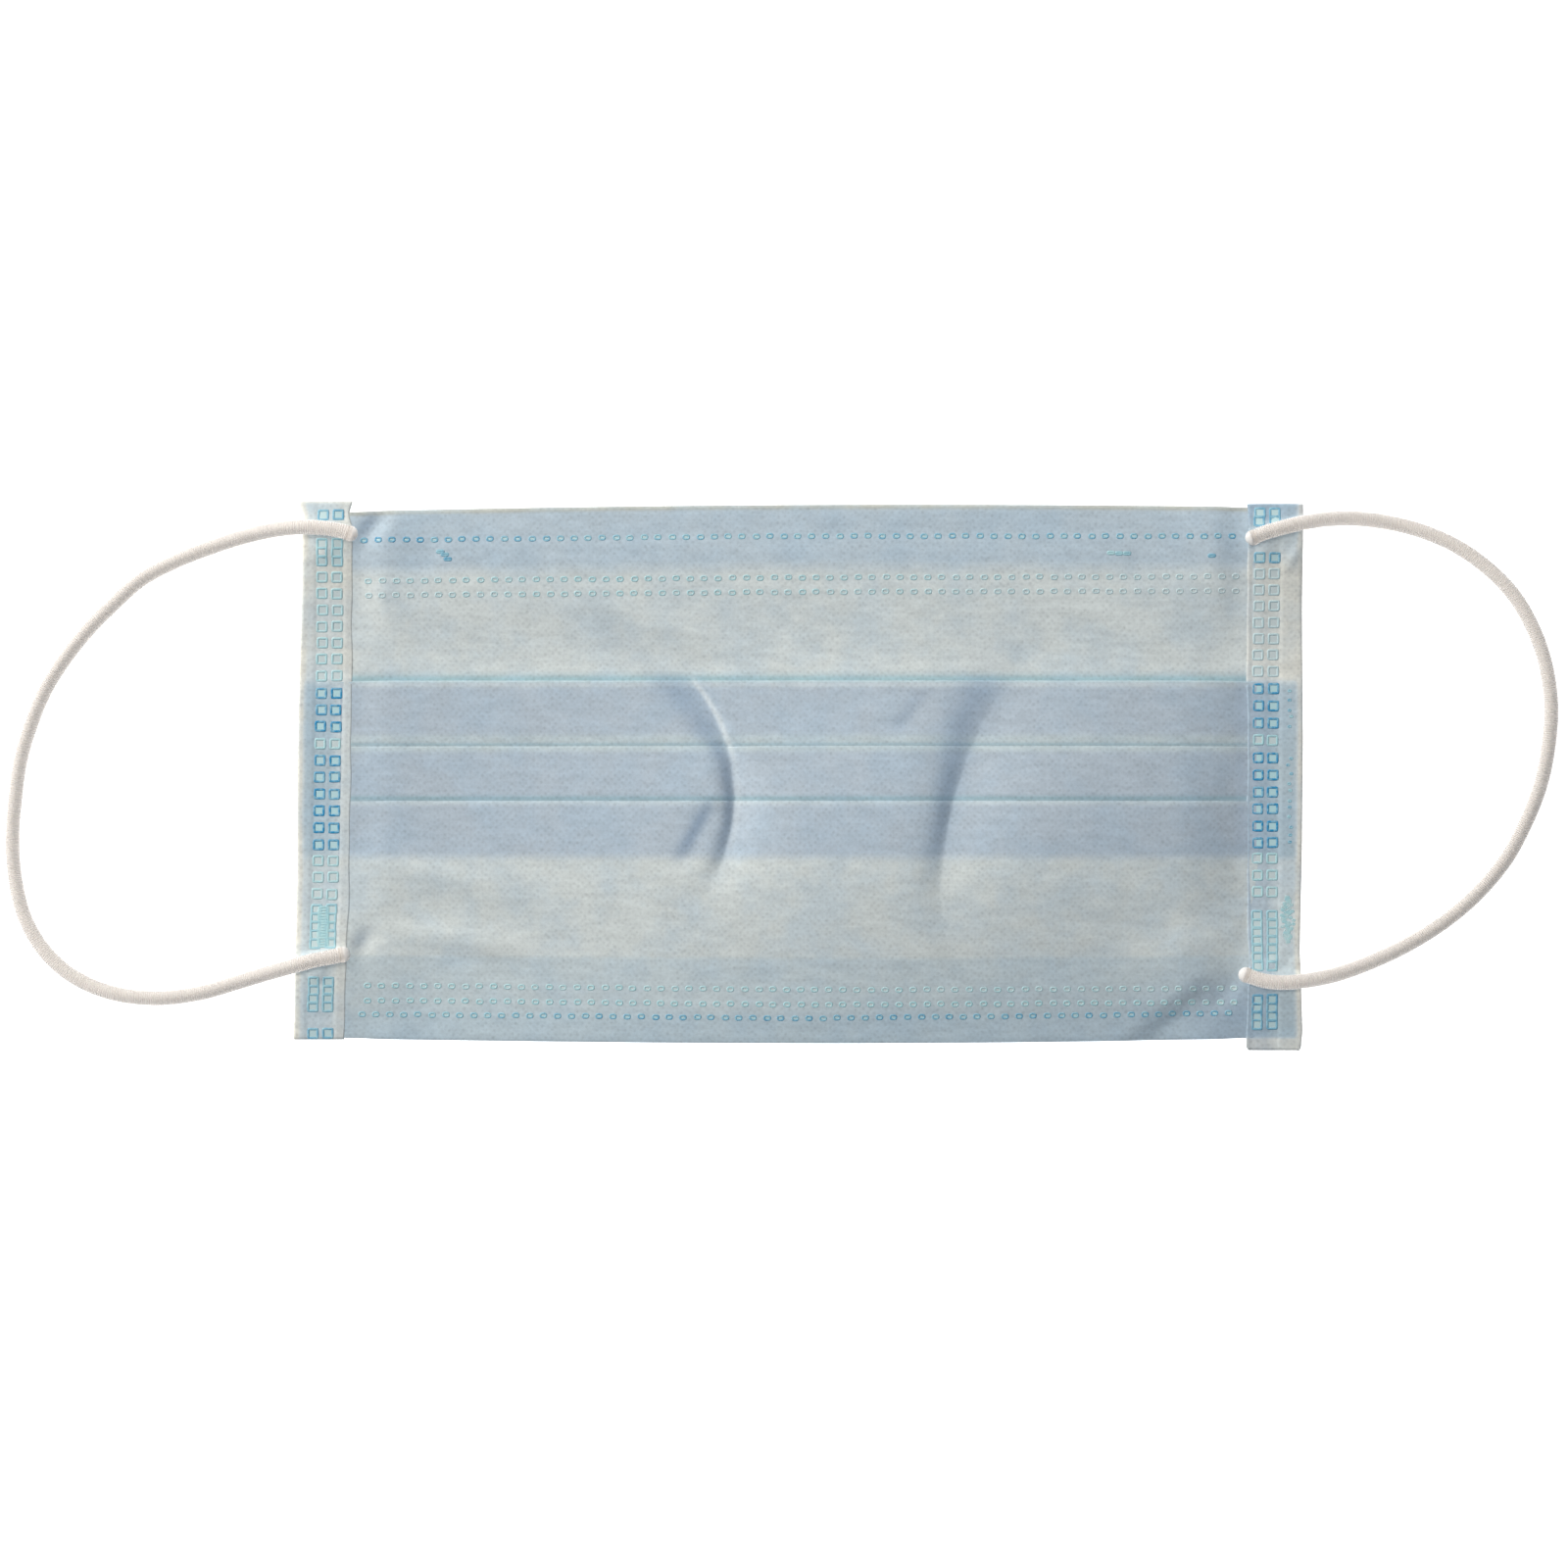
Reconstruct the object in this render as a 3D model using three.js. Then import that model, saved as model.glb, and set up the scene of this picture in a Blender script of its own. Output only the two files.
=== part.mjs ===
// A pleated three-ply face mask with two elastic ear loops, lying outer side down on a flat surface.
// Millimetres. +X runs along the mask, +Y points to its nose edge, and Z = 0 is the surface it lies on.
import * as THREE from 'three';

// Driving dimensions ---------------------------------------------------------------------------
const CLOTH = 1.0;              // thickness of one layer of cloth
const GAP = 0.3;                // clearance between faces that touch
const NOSE_EDGE = 47.2;         // Y of the turned hem that holds the nose wire
const CHIN_EDGE = -46.5;        // Y of the lower turned hem
const NOSE_HEM_END = 31.0;      // Y where the turned-under nose hem stops
const CHIN_HEM_END = -31.3;     // Y where the turned-under chin hem stops
const SIDE_SQUEEZE = 0.4;       // how far the welded side seams press the stack of layers flat
const SEAM_LIFT = CLOTH + GAP;  // height of the side seams over the lower leg of the binding
const BULGE = { height: 5.5, x: 18, y: -18, halfLength: 88, halfWidth: 50 };  // how the middle stands up
const SEAM_HOLD = { held: 79, free: 66 };       // distances from the middle between which a seam lets it rise
const WIRE = { from: -61.4, to: 56.1, y: 38.2, width: 3.0, thickness: 0.6 };
const WIRE_HUMP = { crown: 1.8, foot: 3.8, ends: 3.0 };     // half-widths of the rise over the wire
const HEM_RAMP = 4.0;           // how far the cloth takes to come down off a hem or a pleat
const CORD_DIAMETER = 2.7;
const CORD_SIDES = 8;
const CORD_STEPS = 66;

const LAYER = CLOTH + GAP;      // step in Z from one layer to the next
const FOLD_STEPS = 3;           // facets round a half-turn of cloth

// Each pleat is a Z-fold: its edge shows at one Y, and the cloth runs on under it to a hidden fold.
const PLEATS = [
  { shows: 16.4, hides: 6.9 },
  { shows: 5.3, hides: -2.9 },
  { shows: -4.5, hides: -13.9 },
];

// Two creases cross the pleats and lean outwards over the upper field, each with a steep right flank and
// a soft left one. A row gives the line's x at one y and the share of the bulge that it presses down.
const LEFT_CREASE = [
  { y: -22.0, x: -17.5, press: 0.0 },
  { y: -15.0, x: -13.5, press: 0.5 },
  { y: -8.5, x: -11.6, press: 0.7 },
  { y: -4.0, x: -11.3, press: 0.7 },
  { y: 3.5, x: -12.4, press: 0.7 },
  { y: 10.0, x: -14.2, press: 0.6 },
  { y: 16.0, x: -19.0, press: 0.5 },
  { y: 24.0, x: -27.0, press: 0.3 },
  { y: 33.0, x: -37.5, press: 0.0 },
];
const RIGHT_CREASE = [
  { y: -33.0, x: 26.8, press: 0.0 },
  { y: -25.0, x: 25.4, press: 0.4 },
  { y: -20.0, x: 24.7, press: 0.5 },
  { y: -14.0, x: 25.7, press: 0.7 },
  { y: -5.5, x: 27.1, press: 0.75 },
  { y: 0.5, x: 28.2, press: 0.75 },
  { y: 7.5, x: 30.2, press: 0.7 },
  { y: 16.0, x: 34.0, press: 0.5 },
  { y: 24.0, x: 40.0, press: 0.3 },
  { y: 33.0, x: 47.5, press: 0.0 },
];
const SOFT_FLANK = 6.0;
const STEEP_FLANK = 2.2;

const SPUNBOND_WHITE = new THREE.MeshStandardMaterial({ color: 0xbecacf, roughness: 0.9, metalness: 0 });
const BINDING_WHITE = new THREE.MeshStandardMaterial({ color: 0xc8d2d5, roughness: 0.9, metalness: 0 });
const ELASTIC_WHITE = new THREE.MeshStandardMaterial({ color: 0xdad7d2, roughness: 0.95, metalness: 0 });
const WIRE_WHITE = new THREE.MeshStandardMaterial({ color: 0xe6e8e6, roughness: 0.5, metalness: 0 });

// Shape helpers --------------------------------------------------------------------------------
function smoothstep(low, high, value) {
  const t = Math.min(1, Math.max(0, (value - low) / (high - low)));
  return t * t * (3 - 2 * t);
}

function bell(value, centre, halfWidth) {
  const t = Math.min(1, Math.abs(value - centre) / halfWidth);
  return (1 + Math.cos(Math.PI * t)) / 2;
}

// Reads one named column of a table whose rows are ordered by y.
function atY(rows, column, y) {
  const above = rows.findIndex((row) => row.y >= y);
  if (above === 0) return rows[0][column];
  if (above < 0) return rows.at(-1)[column];
  const low = rows[above - 1];
  const high = rows[above];
  return THREE.MathUtils.mapLinear(y, low.y, high.y, low[column], high[column]);
}

// A closed body through rings of points that all have the same count. The end caps are cut from the
// flat outline, whose corners the first and the last ring follow one for one.
function loft(rings, outline) {
  const count = rings[0].length;
  const positions = rings.flat().flatMap((point) => [point.x, point.y, point.z]);
  const index = [];
  for (let i = 0; i + 1 < rings.length; i += 1) {
    for (let j = 0; j < count; j += 1) {
      const a = i * count + j;
      const b = i * count + ((j + 1) % count);
      index.push(a, b, b + count, a, b + count, a + count);
    }
  }
  const last = (rings.length - 1) * count;
  for (const [a, b, c] of THREE.ShapeUtils.triangulateShape(outline, [])) {
    index.push(a, c, b, last + a, last + b, last + c);
  }
  const geometry = new THREE.BufferGeometry();
  geometry.setAttribute('position', new THREE.Float32BufferAttribute(positions, 3));
  geometry.setIndex(index);
  geometry.computeVertexNormals();
  return geometry;
}

// The outline of a wall that follows an open path: out along one side and back along the other.
// A path that runs towards -x of its plane gives an outline that turns anticlockwise.
function wallOutline(path, thickness) {
  const near = [];
  const far = [];
  path.forEach((point, i) => {
    const before = path[Math.max(0, i - 1)];
    const after = path[Math.min(path.length - 1, i + 1)];
    const into = point.clone().sub(before).normalize();
    const out = after.clone().sub(point).normalize();
    const along = into.clone().add(out).normalize();
    const ends = i === 0 || i === path.length - 1;
    const mitre = ends ? 1 : Math.max(0.5, along.dot(into));
    const normal = new THREE.Vector2(along.y, -along.x).multiplyScalar(thickness / 2 / mitre);
    near.push(point.clone().add(normal));
    far.push(point.clone().sub(normal));
  });
  return near.concat(far.reverse());
}

// The pleated panel ------------------------------------------------------------------------------
const layerZ = (level) => CLOTH / 2 + level * LAYER;

// Carries a path on to (y, z), easing in and out of any change of height.
function runTo(path, y, z, steps) {
  const start = path.at(-1).clone();
  for (let i = 1; i <= steps; i += 1) {
    const t = i / steps;
    path.push(new THREE.Vector2(start.x + (y - start.x) * t, start.y + (z - start.y) * smoothstep(0, 1, t)));
  }
}

// A half-turn of cloth whose outside reaches Y = reach, one layer up (rise 1) or down (rise -1).
function turnAt(path, reach, rise, runSteps) {
  const start = path.at(-1);
  const side = Math.sign(reach - start.x);
  const radius = LAYER / 2;
  const centreY = reach - side * (radius + CLOTH / 2);
  const z = start.y;
  runTo(path, centreY, z, runSteps);
  for (let i = 1; i <= FOLD_STEPS; i += 1) {
    const angle = Math.PI * (i / FOLD_STEPS - 0.5);
    const y = centreY + side * radius * Math.cos(angle);
    path.push(new THREE.Vector2(y, z + rise * radius * (1 + Math.sin(angle))));
  }
}

// The steep step between two pleats: a quarter turn down, a short drop and a quarter turn out.
function dropBetween(path, wallY, fromZ, toZ) {
  const radius = 0.6;
  const corner = radius * (1 - Math.SQRT1_2);
  runTo(path, wallY + radius, fromZ, 2);
  path.push(new THREE.Vector2(wallY + corner, fromZ - corner));
  path.push(new THREE.Vector2(wallY, fromZ - radius));
  path.push(new THREE.Vector2(wallY, toZ + radius));
  path.push(new THREE.Vector2(wallY - corner, toZ + corner));
  path.push(new THREE.Vector2(wallY - radius, toZ));
}

// The middle line of the cloth in the YZ plane, from the free end of the nose hem to that of the chin hem.
function panelPath() {
  const bottom = layerZ(0);
  const middle = layerZ(1);
  const top = layerZ(2);
  const path = [new THREE.Vector2(NOSE_HEM_END, bottom)];
  turnAt(path, NOSE_EDGE, 1, 2);
  for (const side of [1, -1]) {
    for (const part of side > 0 ? [WIRE_HUMP.foot, WIRE_HUMP.crown] : [WIRE_HUMP.crown, WIRE_HUMP.foot]) {
      runTo(path, WIRE.y + side * part, middle, 1);
    }
  }
  runTo(path, NOSE_HEM_END - GAP, middle, 1);
  runTo(path, NOSE_HEM_END - GAP - HEM_RAMP, bottom, 3);
  runTo(path, PLEATS[0].shows + HEM_RAMP, bottom, 2);
  PLEATS.forEach((pleat, i) => {
    turnAt(path, pleat.hides, 1, 2);
    turnAt(path, pleat.shows, 1, 2);
    if (i + 1 < PLEATS.length) {
      dropBetween(path, PLEATS[i + 1].shows + GAP + CLOTH / 2, top, bottom);
    } else {
      runTo(path, pleat.hides - GAP, top, 2);
      runTo(path, pleat.hides - GAP - HEM_RAMP, bottom, 3);
    }
  });
  runTo(path, CHIN_HEM_END + GAP + HEM_RAMP, bottom, 2);
  runTo(path, CHIN_HEM_END + GAP, middle, 3);
  turnAt(path, CHIN_EDGE, -1, 2);
  runTo(path, CHIN_HEM_END, bottom, 2);
  return path;
}

// How far a crease presses the panel down at (x, y): its full share on the line, nothing far from it.
function creasePress(crease, x, y) {
  const across = x - atY(crease, 'x', y);
  const flank = across < 0 ? SOFT_FLANK : STEEP_FLANK;
  return atY(crease, 'press', y) * Math.exp(-((across / flank) ** 2));
}

function lift(x, y) {
  const free = smoothstep(SEAM_HOLD.held, SEAM_HOLD.free, Math.abs(x));
  const swell = BULGE.height * free * bell(x, BULGE.x, BULGE.halfLength) * bell(y, BULGE.y, BULGE.halfWidth);
  return swell * (1 - creasePress(LEFT_CREASE, x, y)) * (1 - creasePress(RIGHT_CREASE, x, y));
}

// The pocket that the nose wire lies in: only the upper layer of the hem rises over it.
function wirePocket(x, y, z) {
  if (z < CLOTH + GAP / 2) return 0;
  const height = WIRE.thickness + GAP;
  const { crown, foot, ends } = WIRE_HUMP;
  const pastEnd = Math.max(WIRE.from - x, x - WIRE.to);
  const pastMiddle = Math.abs(y - WIRE.y);
  return height * smoothstep(ends, GAP, pastEnd) * smoothstep(foot, crown, pastMiddle);
}

// The two long edges bow a little outwards in the middle of the mask.
function bow(x, y) {
  if (y > 0) return -1.2 * ((x - 20) / 97) ** 2 * smoothstep(18, NOSE_EDGE, y);
  return 0.7 * (x / 78) ** 2 * smoothstep(-18, CHIN_EDGE, y);
}

// Columns of the panel along X. Those near a crease bend with it, so that its line stays sharp.
const PANEL_COLUMNS = [
  { x: -83.9, bends: null },
  { x: -77.0, bends: null },
  { x: -74.6, bends: null },
  { x: -71.4, bends: null },
  { x: -64.4, bends: null },
  { x: -61.8, bends: null },
  { x: -48.0, bends: null },
  { x: -8.0, bends: LEFT_CREASE },
  { x: -4.0, bends: LEFT_CREASE },
  { x: 0.0, bends: LEFT_CREASE },
  { x: 1.6, bends: LEFT_CREASE },
  { x: 4.5, bends: LEFT_CREASE },
  { x: -8.0, bends: RIGHT_CREASE },
  { x: -4.0, bends: RIGHT_CREASE },
  { x: 0.0, bends: RIGHT_CREASE },
  { x: 1.6, bends: RIGHT_CREASE },
  { x: 4.5, bends: RIGHT_CREASE },
  { x: 56.6, bends: null },
  { x: 59.2, bends: null },
  { x: 71.6, bends: null },
  { x: 74.8, bends: null },
  { x: 77.4, bends: null },
  { x: 84.8, bends: null },
];

function columnX(column, y) {
  return column.bends ? column.x + atY(column.bends, 'x', y) : column.x;
}

function panelPoint(x, flat) {
  const seam = Math.max(smoothstep(-71.4, -77.0, x), smoothstep(71.6, 77.4, x));
  const squeeze = 1 + (SIDE_SQUEEZE - 1) * seam;
  const z = seam * SEAM_LIFT + squeeze * flat.y + lift(x, flat.x) + wirePocket(x, flat.x, flat.y);
  return new THREE.Vector3(x, flat.x + bow(x, flat.x), z);
}

function maskPanel() {
  const outline = wallOutline(panelPath(), CLOTH);
  const ring = (column) => outline.map((flat) => panelPoint(columnX(column, flat.x), flat));
  return loft(PANEL_COLUMNS.map(ring), outline);
}

// The nose wire ----------------------------------------------------------------------------------
function noseWire() {
  const outline = new THREE.Shape();
  const half = { x: (WIRE.to - WIRE.from) / 2, y: WIRE.width / 2 };
  const corner = 0.6;
  outline.moveTo(-half.x + corner, -half.y);
  outline.lineTo(half.x - corner, -half.y);
  outline.absarc(half.x - corner, -half.y + corner, corner, -Math.PI / 2, 0);
  outline.absarc(half.x - corner, half.y - corner, corner, 0, Math.PI / 2);
  outline.absarc(-half.x + corner, half.y - corner, corner, Math.PI / 2, Math.PI);
  outline.absarc(-half.x + corner, -half.y + corner, corner, Math.PI, Math.PI * 1.5);
  const settings = { depth: WIRE.thickness, bevelEnabled: false, curveSegments: 3 };
  return new THREE.ExtrudeGeometry(outline, settings);
}

// The side bindings --------------------------------------------------------------------------------
// The stack of layers inside a binding: one in the open fields, two in the hems, three in the pleats.
const STACK_TOP = [
  { y: -30.6, top: 2 * CLOTH + GAP },
  { y: -26.6, top: CLOTH },
  { y: -19.0, top: CLOTH },
  { y: -14.2, top: 3 * CLOTH + 2 * GAP },
  { y: 17.0, top: 3 * CLOTH + 2 * GAP },
  { y: 20.0, top: CLOTH },
  { y: 26.0, top: CLOTH },
  { y: 30.4, top: 2 * CLOTH + GAP },
];

// The plan of each binding, from its chin end up: x of the fold and of the cut inner edge.
const LEFT_BINDING = [
  { y: -45.9, fold: -87.8, edge: -79.1 },
  { y: -30.6, fold: -87.5, edge: -78.6 },
  { y: -26.6, fold: -87.3, edge: -78.4 },
  { y: -19.0, fold: -87.1, edge: -78.2 },
  { y: -14.2, fold: -87.1, edge: -78.1 },
  { y: 3.0, fold: -87.1, edge: -78.0 },
  { y: 17.0, fold: -86.8, edge: -77.9 },
  { y: 20.0, fold: -86.7, edge: -77.9 },
  { y: 26.0, fold: -86.5, edge: -77.7 },
  { y: 30.4, fold: -86.3, edge: -77.6 },
  { y: 42.0, fold: -85.9, edge: -77.6 },
  { y: 45.0, fold: -85.8, edge: -78.2 },
  { y: 47.8, fold: -86.5, edge: -77.5 },
];
const RIGHT_BINDING = [
  { y: -47.8, fold: 87.4, edge: 78.0 },
  { y: -44.5, fold: 87.7, edge: 77.9 },
  { y: -30.6, fold: 87.1, edge: 78.1 },
  { y: -26.6, fold: 87.2, edge: 78.1 },
  { y: -19.0, fold: 87.5, edge: 78.0 },
  { y: -14.2, fold: 87.6, edge: 78.0 },
  { y: 6.0, fold: 87.8, edge: 78.0 },
  { y: 17.0, fold: 87.7, edge: 78.0 },
  { y: 20.0, fold: 87.7, edge: 78.0 },
  { y: 26.0, fold: 87.6, edge: 78.0 },
  { y: 30.4, fold: 87.5, edge: 78.0 },
  { y: 46.6, fold: 87.5, edge: 77.9 },
];

// One station of a binding, a C in the XZ plane: its lower leg, the fold and its upper leg.
function bindingSection(row, side) {
  const turn = 1.2;
  const low = CLOTH / 2;
  const high = SEAM_LIFT + SIDE_SQUEEZE * atY(STACK_TOP, 'top', row.y) + GAP + CLOTH / 2;
  const middle = (low + high) / 2;
  const fold = side * row.fold - CLOTH / 2;
  const edge = side * row.edge;
  const path = [new THREE.Vector2(edge, low)];
  path.push(new THREE.Vector2((edge + fold) / 2, low));
  for (let i = 0; i <= 4; i += 1) {
    const angle = (Math.PI * i) / 4;
    const x = fold - turn + turn * Math.sin(angle);
    path.push(new THREE.Vector2(x, middle - (middle - low) * Math.cos(angle)));
  }
  path.push(new THREE.Vector2((edge + fold) / 2, high));
  path.push(new THREE.Vector2(edge, high));
  return wallOutline(path, CLOTH);
}

// side is -1 for the left binding and 1 for the right one, which are the same piece seen from each end.
function sideBinding(rows, side) {
  const sections = rows.map((row) => bindingSection(row, side));
  const ring = (section, i) => section.map((flat) => new THREE.Vector3(side * flat.x, rows[i].y, flat.y));
  const rings = sections.map(ring);
  if (side > 0) rings.reverse();
  return loft(rings, sections[0]);
}

// The ear loops --------------------------------------------------------------------------------------
// Each loop leaves the inner edge of its binding, crosses over it and lies on the surface in one wide arc.
const LEFT_LOOP_ROUTE = [
  [-77.7, 41.9, 4.9], [-79.8, 42.5, 5.15], [-82.9, 42.9, 5.35], [-86.5, 43.0, 5.25], [-91.5, 42.5, 4.05],
  [-97.0, 41.3, 2.45], [-103.0, 39.4, 1.5], [-109.0, 37.0, 1.4], [-114.5, 34.0, 1.4], [-119.0, 30.0, 1.4],
  [-123.5, 25.5, 1.4], [-127.5, 20.5, 1.4], [-131.0, 15.0, 1.4], [-133.5, 9.0, 1.4], [-135.3, 3.0, 1.4],
  [-136.3, -4.0, 1.4], [-136.8, -11.0, 1.4], [-136.3, -18.0, 1.4], [-134.7, -24.5, 1.4],
  [-131.6, -30.0, 1.4], [-127.0, -34.4, 1.4], [-120.5, -37.5, 1.4], [-112.5, -38.7, 1.4],
  [-104.5, -37.9, 1.5], [-97.5, -35.9, 2.45], [-92.3, -34.3, 4.05], [-87.4, -32.9, 5.25],
  [-83.6, -31.9, 5.35], [-81.0, -31.4, 5.15], [-79.0, -31.0, 4.9],
];
const RIGHT_LOOP_ROUTE = [
  [78.6, 41.2, 4.9], [80.5, 42.0, 5.15], [83.6, 42.9, 5.35], [87.4, 43.8, 5.25], [92.0, 44.5, 4.05],
  [97.5, 44.6, 2.45], [103.5, 43.8, 1.5], [109.0, 42.3, 1.4], [114.5, 39.8, 1.4], [119.5, 36.3, 1.4],
  [124.0, 31.8, 1.4], [127.5, 26.0, 1.4], [129.8, 19.5, 1.4], [130.8, 12.5, 1.4], [130.4, 5.5, 1.4],
  [129.0, -1.5, 1.4], [126.5, -8.0, 1.4], [123.0, -14.5, 1.4], [118.0, -20.5, 1.4], [112.5, -25.2, 1.45],
  [106.0, -29.3, 1.65], [99.5, -32.3, 2.55], [93.0, -34.5, 4.05], [87.5, -35.5, 5.25], [83.4, -35.8, 5.35],
  [80.0, -35.4, 5.15], [77.4, -34.5, 4.9],
];

function earLoop(route) {
  const points = route.map(([x, y, z]) => new THREE.Vector3(x, y, z));
  const section = new THREE.Shape();
  for (let i = 0; i < CORD_SIDES; i += 1) {
    const angle = (2 * Math.PI * i) / CORD_SIDES;
    const corner = [(CORD_DIAMETER / 2) * Math.cos(angle), (CORD_DIAMETER / 2) * Math.sin(angle)];
    if (i === 0) section.moveTo(...corner);
    else section.lineTo(...corner);
  }
  section.closePath();
  const extrudePath = new THREE.CatmullRomCurve3(points, false, 'centripetal');
  return new THREE.ExtrudeGeometry(section, { steps: CORD_STEPS, extrudePath, bevelEnabled: false });
}

// Assembly -------------------------------------------------------------------------------------------
const group = new THREE.Group();

function addPiece(name, geometry, material) {
  const mesh = new THREE.Mesh(geometry, material);
  mesh.name = name;
  group.add(mesh);
  return mesh;
}

addPiece('mask_panel', maskPanel(), SPUNBOND_WHITE);
const wire = addPiece('nose_wire', noseWire(), WIRE_WHITE);
wire.position.set((WIRE.from + WIRE.to) / 2, WIRE.y, CLOTH + GAP);
addPiece('left_binding', sideBinding(LEFT_BINDING, -1), BINDING_WHITE);
addPiece('right_binding', sideBinding(RIGHT_BINDING, 1), BINDING_WHITE);
addPiece('left_ear_loop', earLoop(LEFT_LOOP_ROUTE), ELASTIC_WHITE);
addPiece('right_ear_loop', earLoop(RIGHT_LOOP_ROUTE), ELASTIC_WHITE);

export default group;
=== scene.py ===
"""Looks of a pleated three-ply face mask that lies outer side down, with its two elastic ear loops spread.

Every length here is in metres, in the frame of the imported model: +X runs along the mask, +Y points to
the nose edge, and Z = 0 is the surface that the mask lies on.
"""
import math
import random

import bpy
import numpy as np
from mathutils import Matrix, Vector


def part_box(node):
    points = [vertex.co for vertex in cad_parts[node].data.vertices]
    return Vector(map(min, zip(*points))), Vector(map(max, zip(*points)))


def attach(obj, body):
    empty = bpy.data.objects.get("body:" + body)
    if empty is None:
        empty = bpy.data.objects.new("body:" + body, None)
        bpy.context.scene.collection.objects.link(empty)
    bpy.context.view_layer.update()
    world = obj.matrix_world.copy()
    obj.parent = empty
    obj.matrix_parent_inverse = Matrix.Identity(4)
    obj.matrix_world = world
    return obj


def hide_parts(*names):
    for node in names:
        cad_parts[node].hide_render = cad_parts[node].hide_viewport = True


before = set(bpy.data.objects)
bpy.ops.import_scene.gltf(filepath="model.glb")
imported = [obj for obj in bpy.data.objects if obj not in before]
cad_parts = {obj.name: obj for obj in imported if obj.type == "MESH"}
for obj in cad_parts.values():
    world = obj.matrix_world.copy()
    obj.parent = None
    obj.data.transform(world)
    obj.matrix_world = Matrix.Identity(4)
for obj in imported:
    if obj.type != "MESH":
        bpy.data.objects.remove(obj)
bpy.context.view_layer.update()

# ------------------------------------------------------------------------------------------------
# Studio: a glowing white table, a large soft box to the upper left and a dim white room.
# The camera looks straight down on the mask from far enough away that its edges stay parallel.
# ------------------------------------------------------------------------------------------------
MM = 0.001
scene = bpy.context.scene
scene.view_settings.view_transform = "Standard"

view_width = 0.2732
lens_mm = 100.0
camera_data = bpy.data.cameras.new("overhead_camera")
camera_data.lens = lens_mm
camera_data.sensor_width = 36.0
camera = bpy.data.objects.new("overhead_camera", camera_data)
camera.location = (-0.0026, -0.00145, view_width * lens_mm / camera_data.sensor_width)
scene.collection.objects.link(camera)
scene.camera = camera


def linear(hex_colour):
    """An sRGB hex colour as the linear colour that a shader takes."""
    channels = [int(hex_colour[i:i + 2], 16) / 255 for i in (1, 3, 5)]
    return tuple(c / 12.92 if c <= 0.04045 else ((c + 0.055) / 1.055) ** 2.4 for c in channels) + (1.0,)


def add_node(tree, kind, inputs=None, **settings):
    """Adds one node, sets it up, and links or fills its inputs; a node there means its first output."""
    node = tree.nodes.new(kind)
    for name, value in settings.items():
        setattr(node, name, value)
    for key, value in (inputs or {}).items():
        if isinstance(value, bpy.types.Node):
            value = value.outputs[0]
        if isinstance(value, bpy.types.NodeSocket):
            tree.links.new(value, node.inputs[key])
        else:
            node.inputs[key].default_value = value
    return node


def new_material(name):
    """An empty node material, with the tree, its Principled shader and its output."""
    material = bpy.data.materials.new(name)
    material.use_nodes = True
    tree = material.node_tree
    tree.nodes.clear()
    shader = add_node(tree, "ShaderNodeBsdfPrincipled")
    add_node(tree, "ShaderNodeOutputMaterial", {"Surface": shader})
    return material, tree, shader


def link_mesh(name, vertices, edges=(), faces=()):
    """A mesh object at the origin, from points in metres."""
    mesh = bpy.data.meshes.new(name)
    mesh.from_pydata([tuple(v) for v in vertices], edges, [tuple(f) for f in faces])
    mesh.update()
    piece = bpy.data.objects.new(name, mesh)
    scene.collection.objects.link(piece)
    return piece


table_white, _, table_shader = new_material("white_table_top")
table_shader.inputs["Base Color"].default_value = linear("#FFFFFF")
table_shader.inputs["Roughness"].default_value = 0.9
table_shader.inputs["Emission Color"].default_value = linear("#FFFFFF")
table_shader.inputs["Emission Strength"].default_value = 0.85
half_table = 1.5
table_corners = [(x * half_table, y * half_table, 0) for x, y in ((-1, -1), (1, -1), (1, 1), (-1, 1))]
table = link_mesh("table_top", table_corners, faces=[(0, 1, 2, 3)])
table.data.materials.append(table_white)

world = bpy.data.worlds.new("white_room")
world.use_nodes = True
world.node_tree.nodes["Background"].inputs["Color"].default_value = linear("#D8E6F6")
world.node_tree.nodes["Background"].inputs["Strength"].default_value = 0.30
scene.world = world


# The white tent round the table leaves no cast shadows, so the key light casts none.
key_light = bpy.data.lights.new("key_soft_box", "AREA")
key_light.size = 1.6
key_light.energy = 24.4
key_light.color = linear("#FFFCF7")[:3]
key_light.use_shadow = False
key_box = bpy.data.objects.new("key_soft_box", key_light)
key_box.location = (-0.755, 0.645, 0.67)
key_box.rotation_euler = (-key_box.location).to_track_quat("-Z", "Y").to_euler()
scene.collection.objects.link(key_box)

# ------------------------------------------------------------------------------------------------
# Ear loops: round knitted elastic, 2.7 mm thick, of fine white polyester yarn over spandex. Each end
# is welded in under the inner edge of a binding and folds back over it, and the loop lies on the table.
# ------------------------------------------------------------------------------------------------
cord_diameter = 2.7 * MM
course_pitch = 0.38 * MM        # one row of knit along the cord

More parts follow.
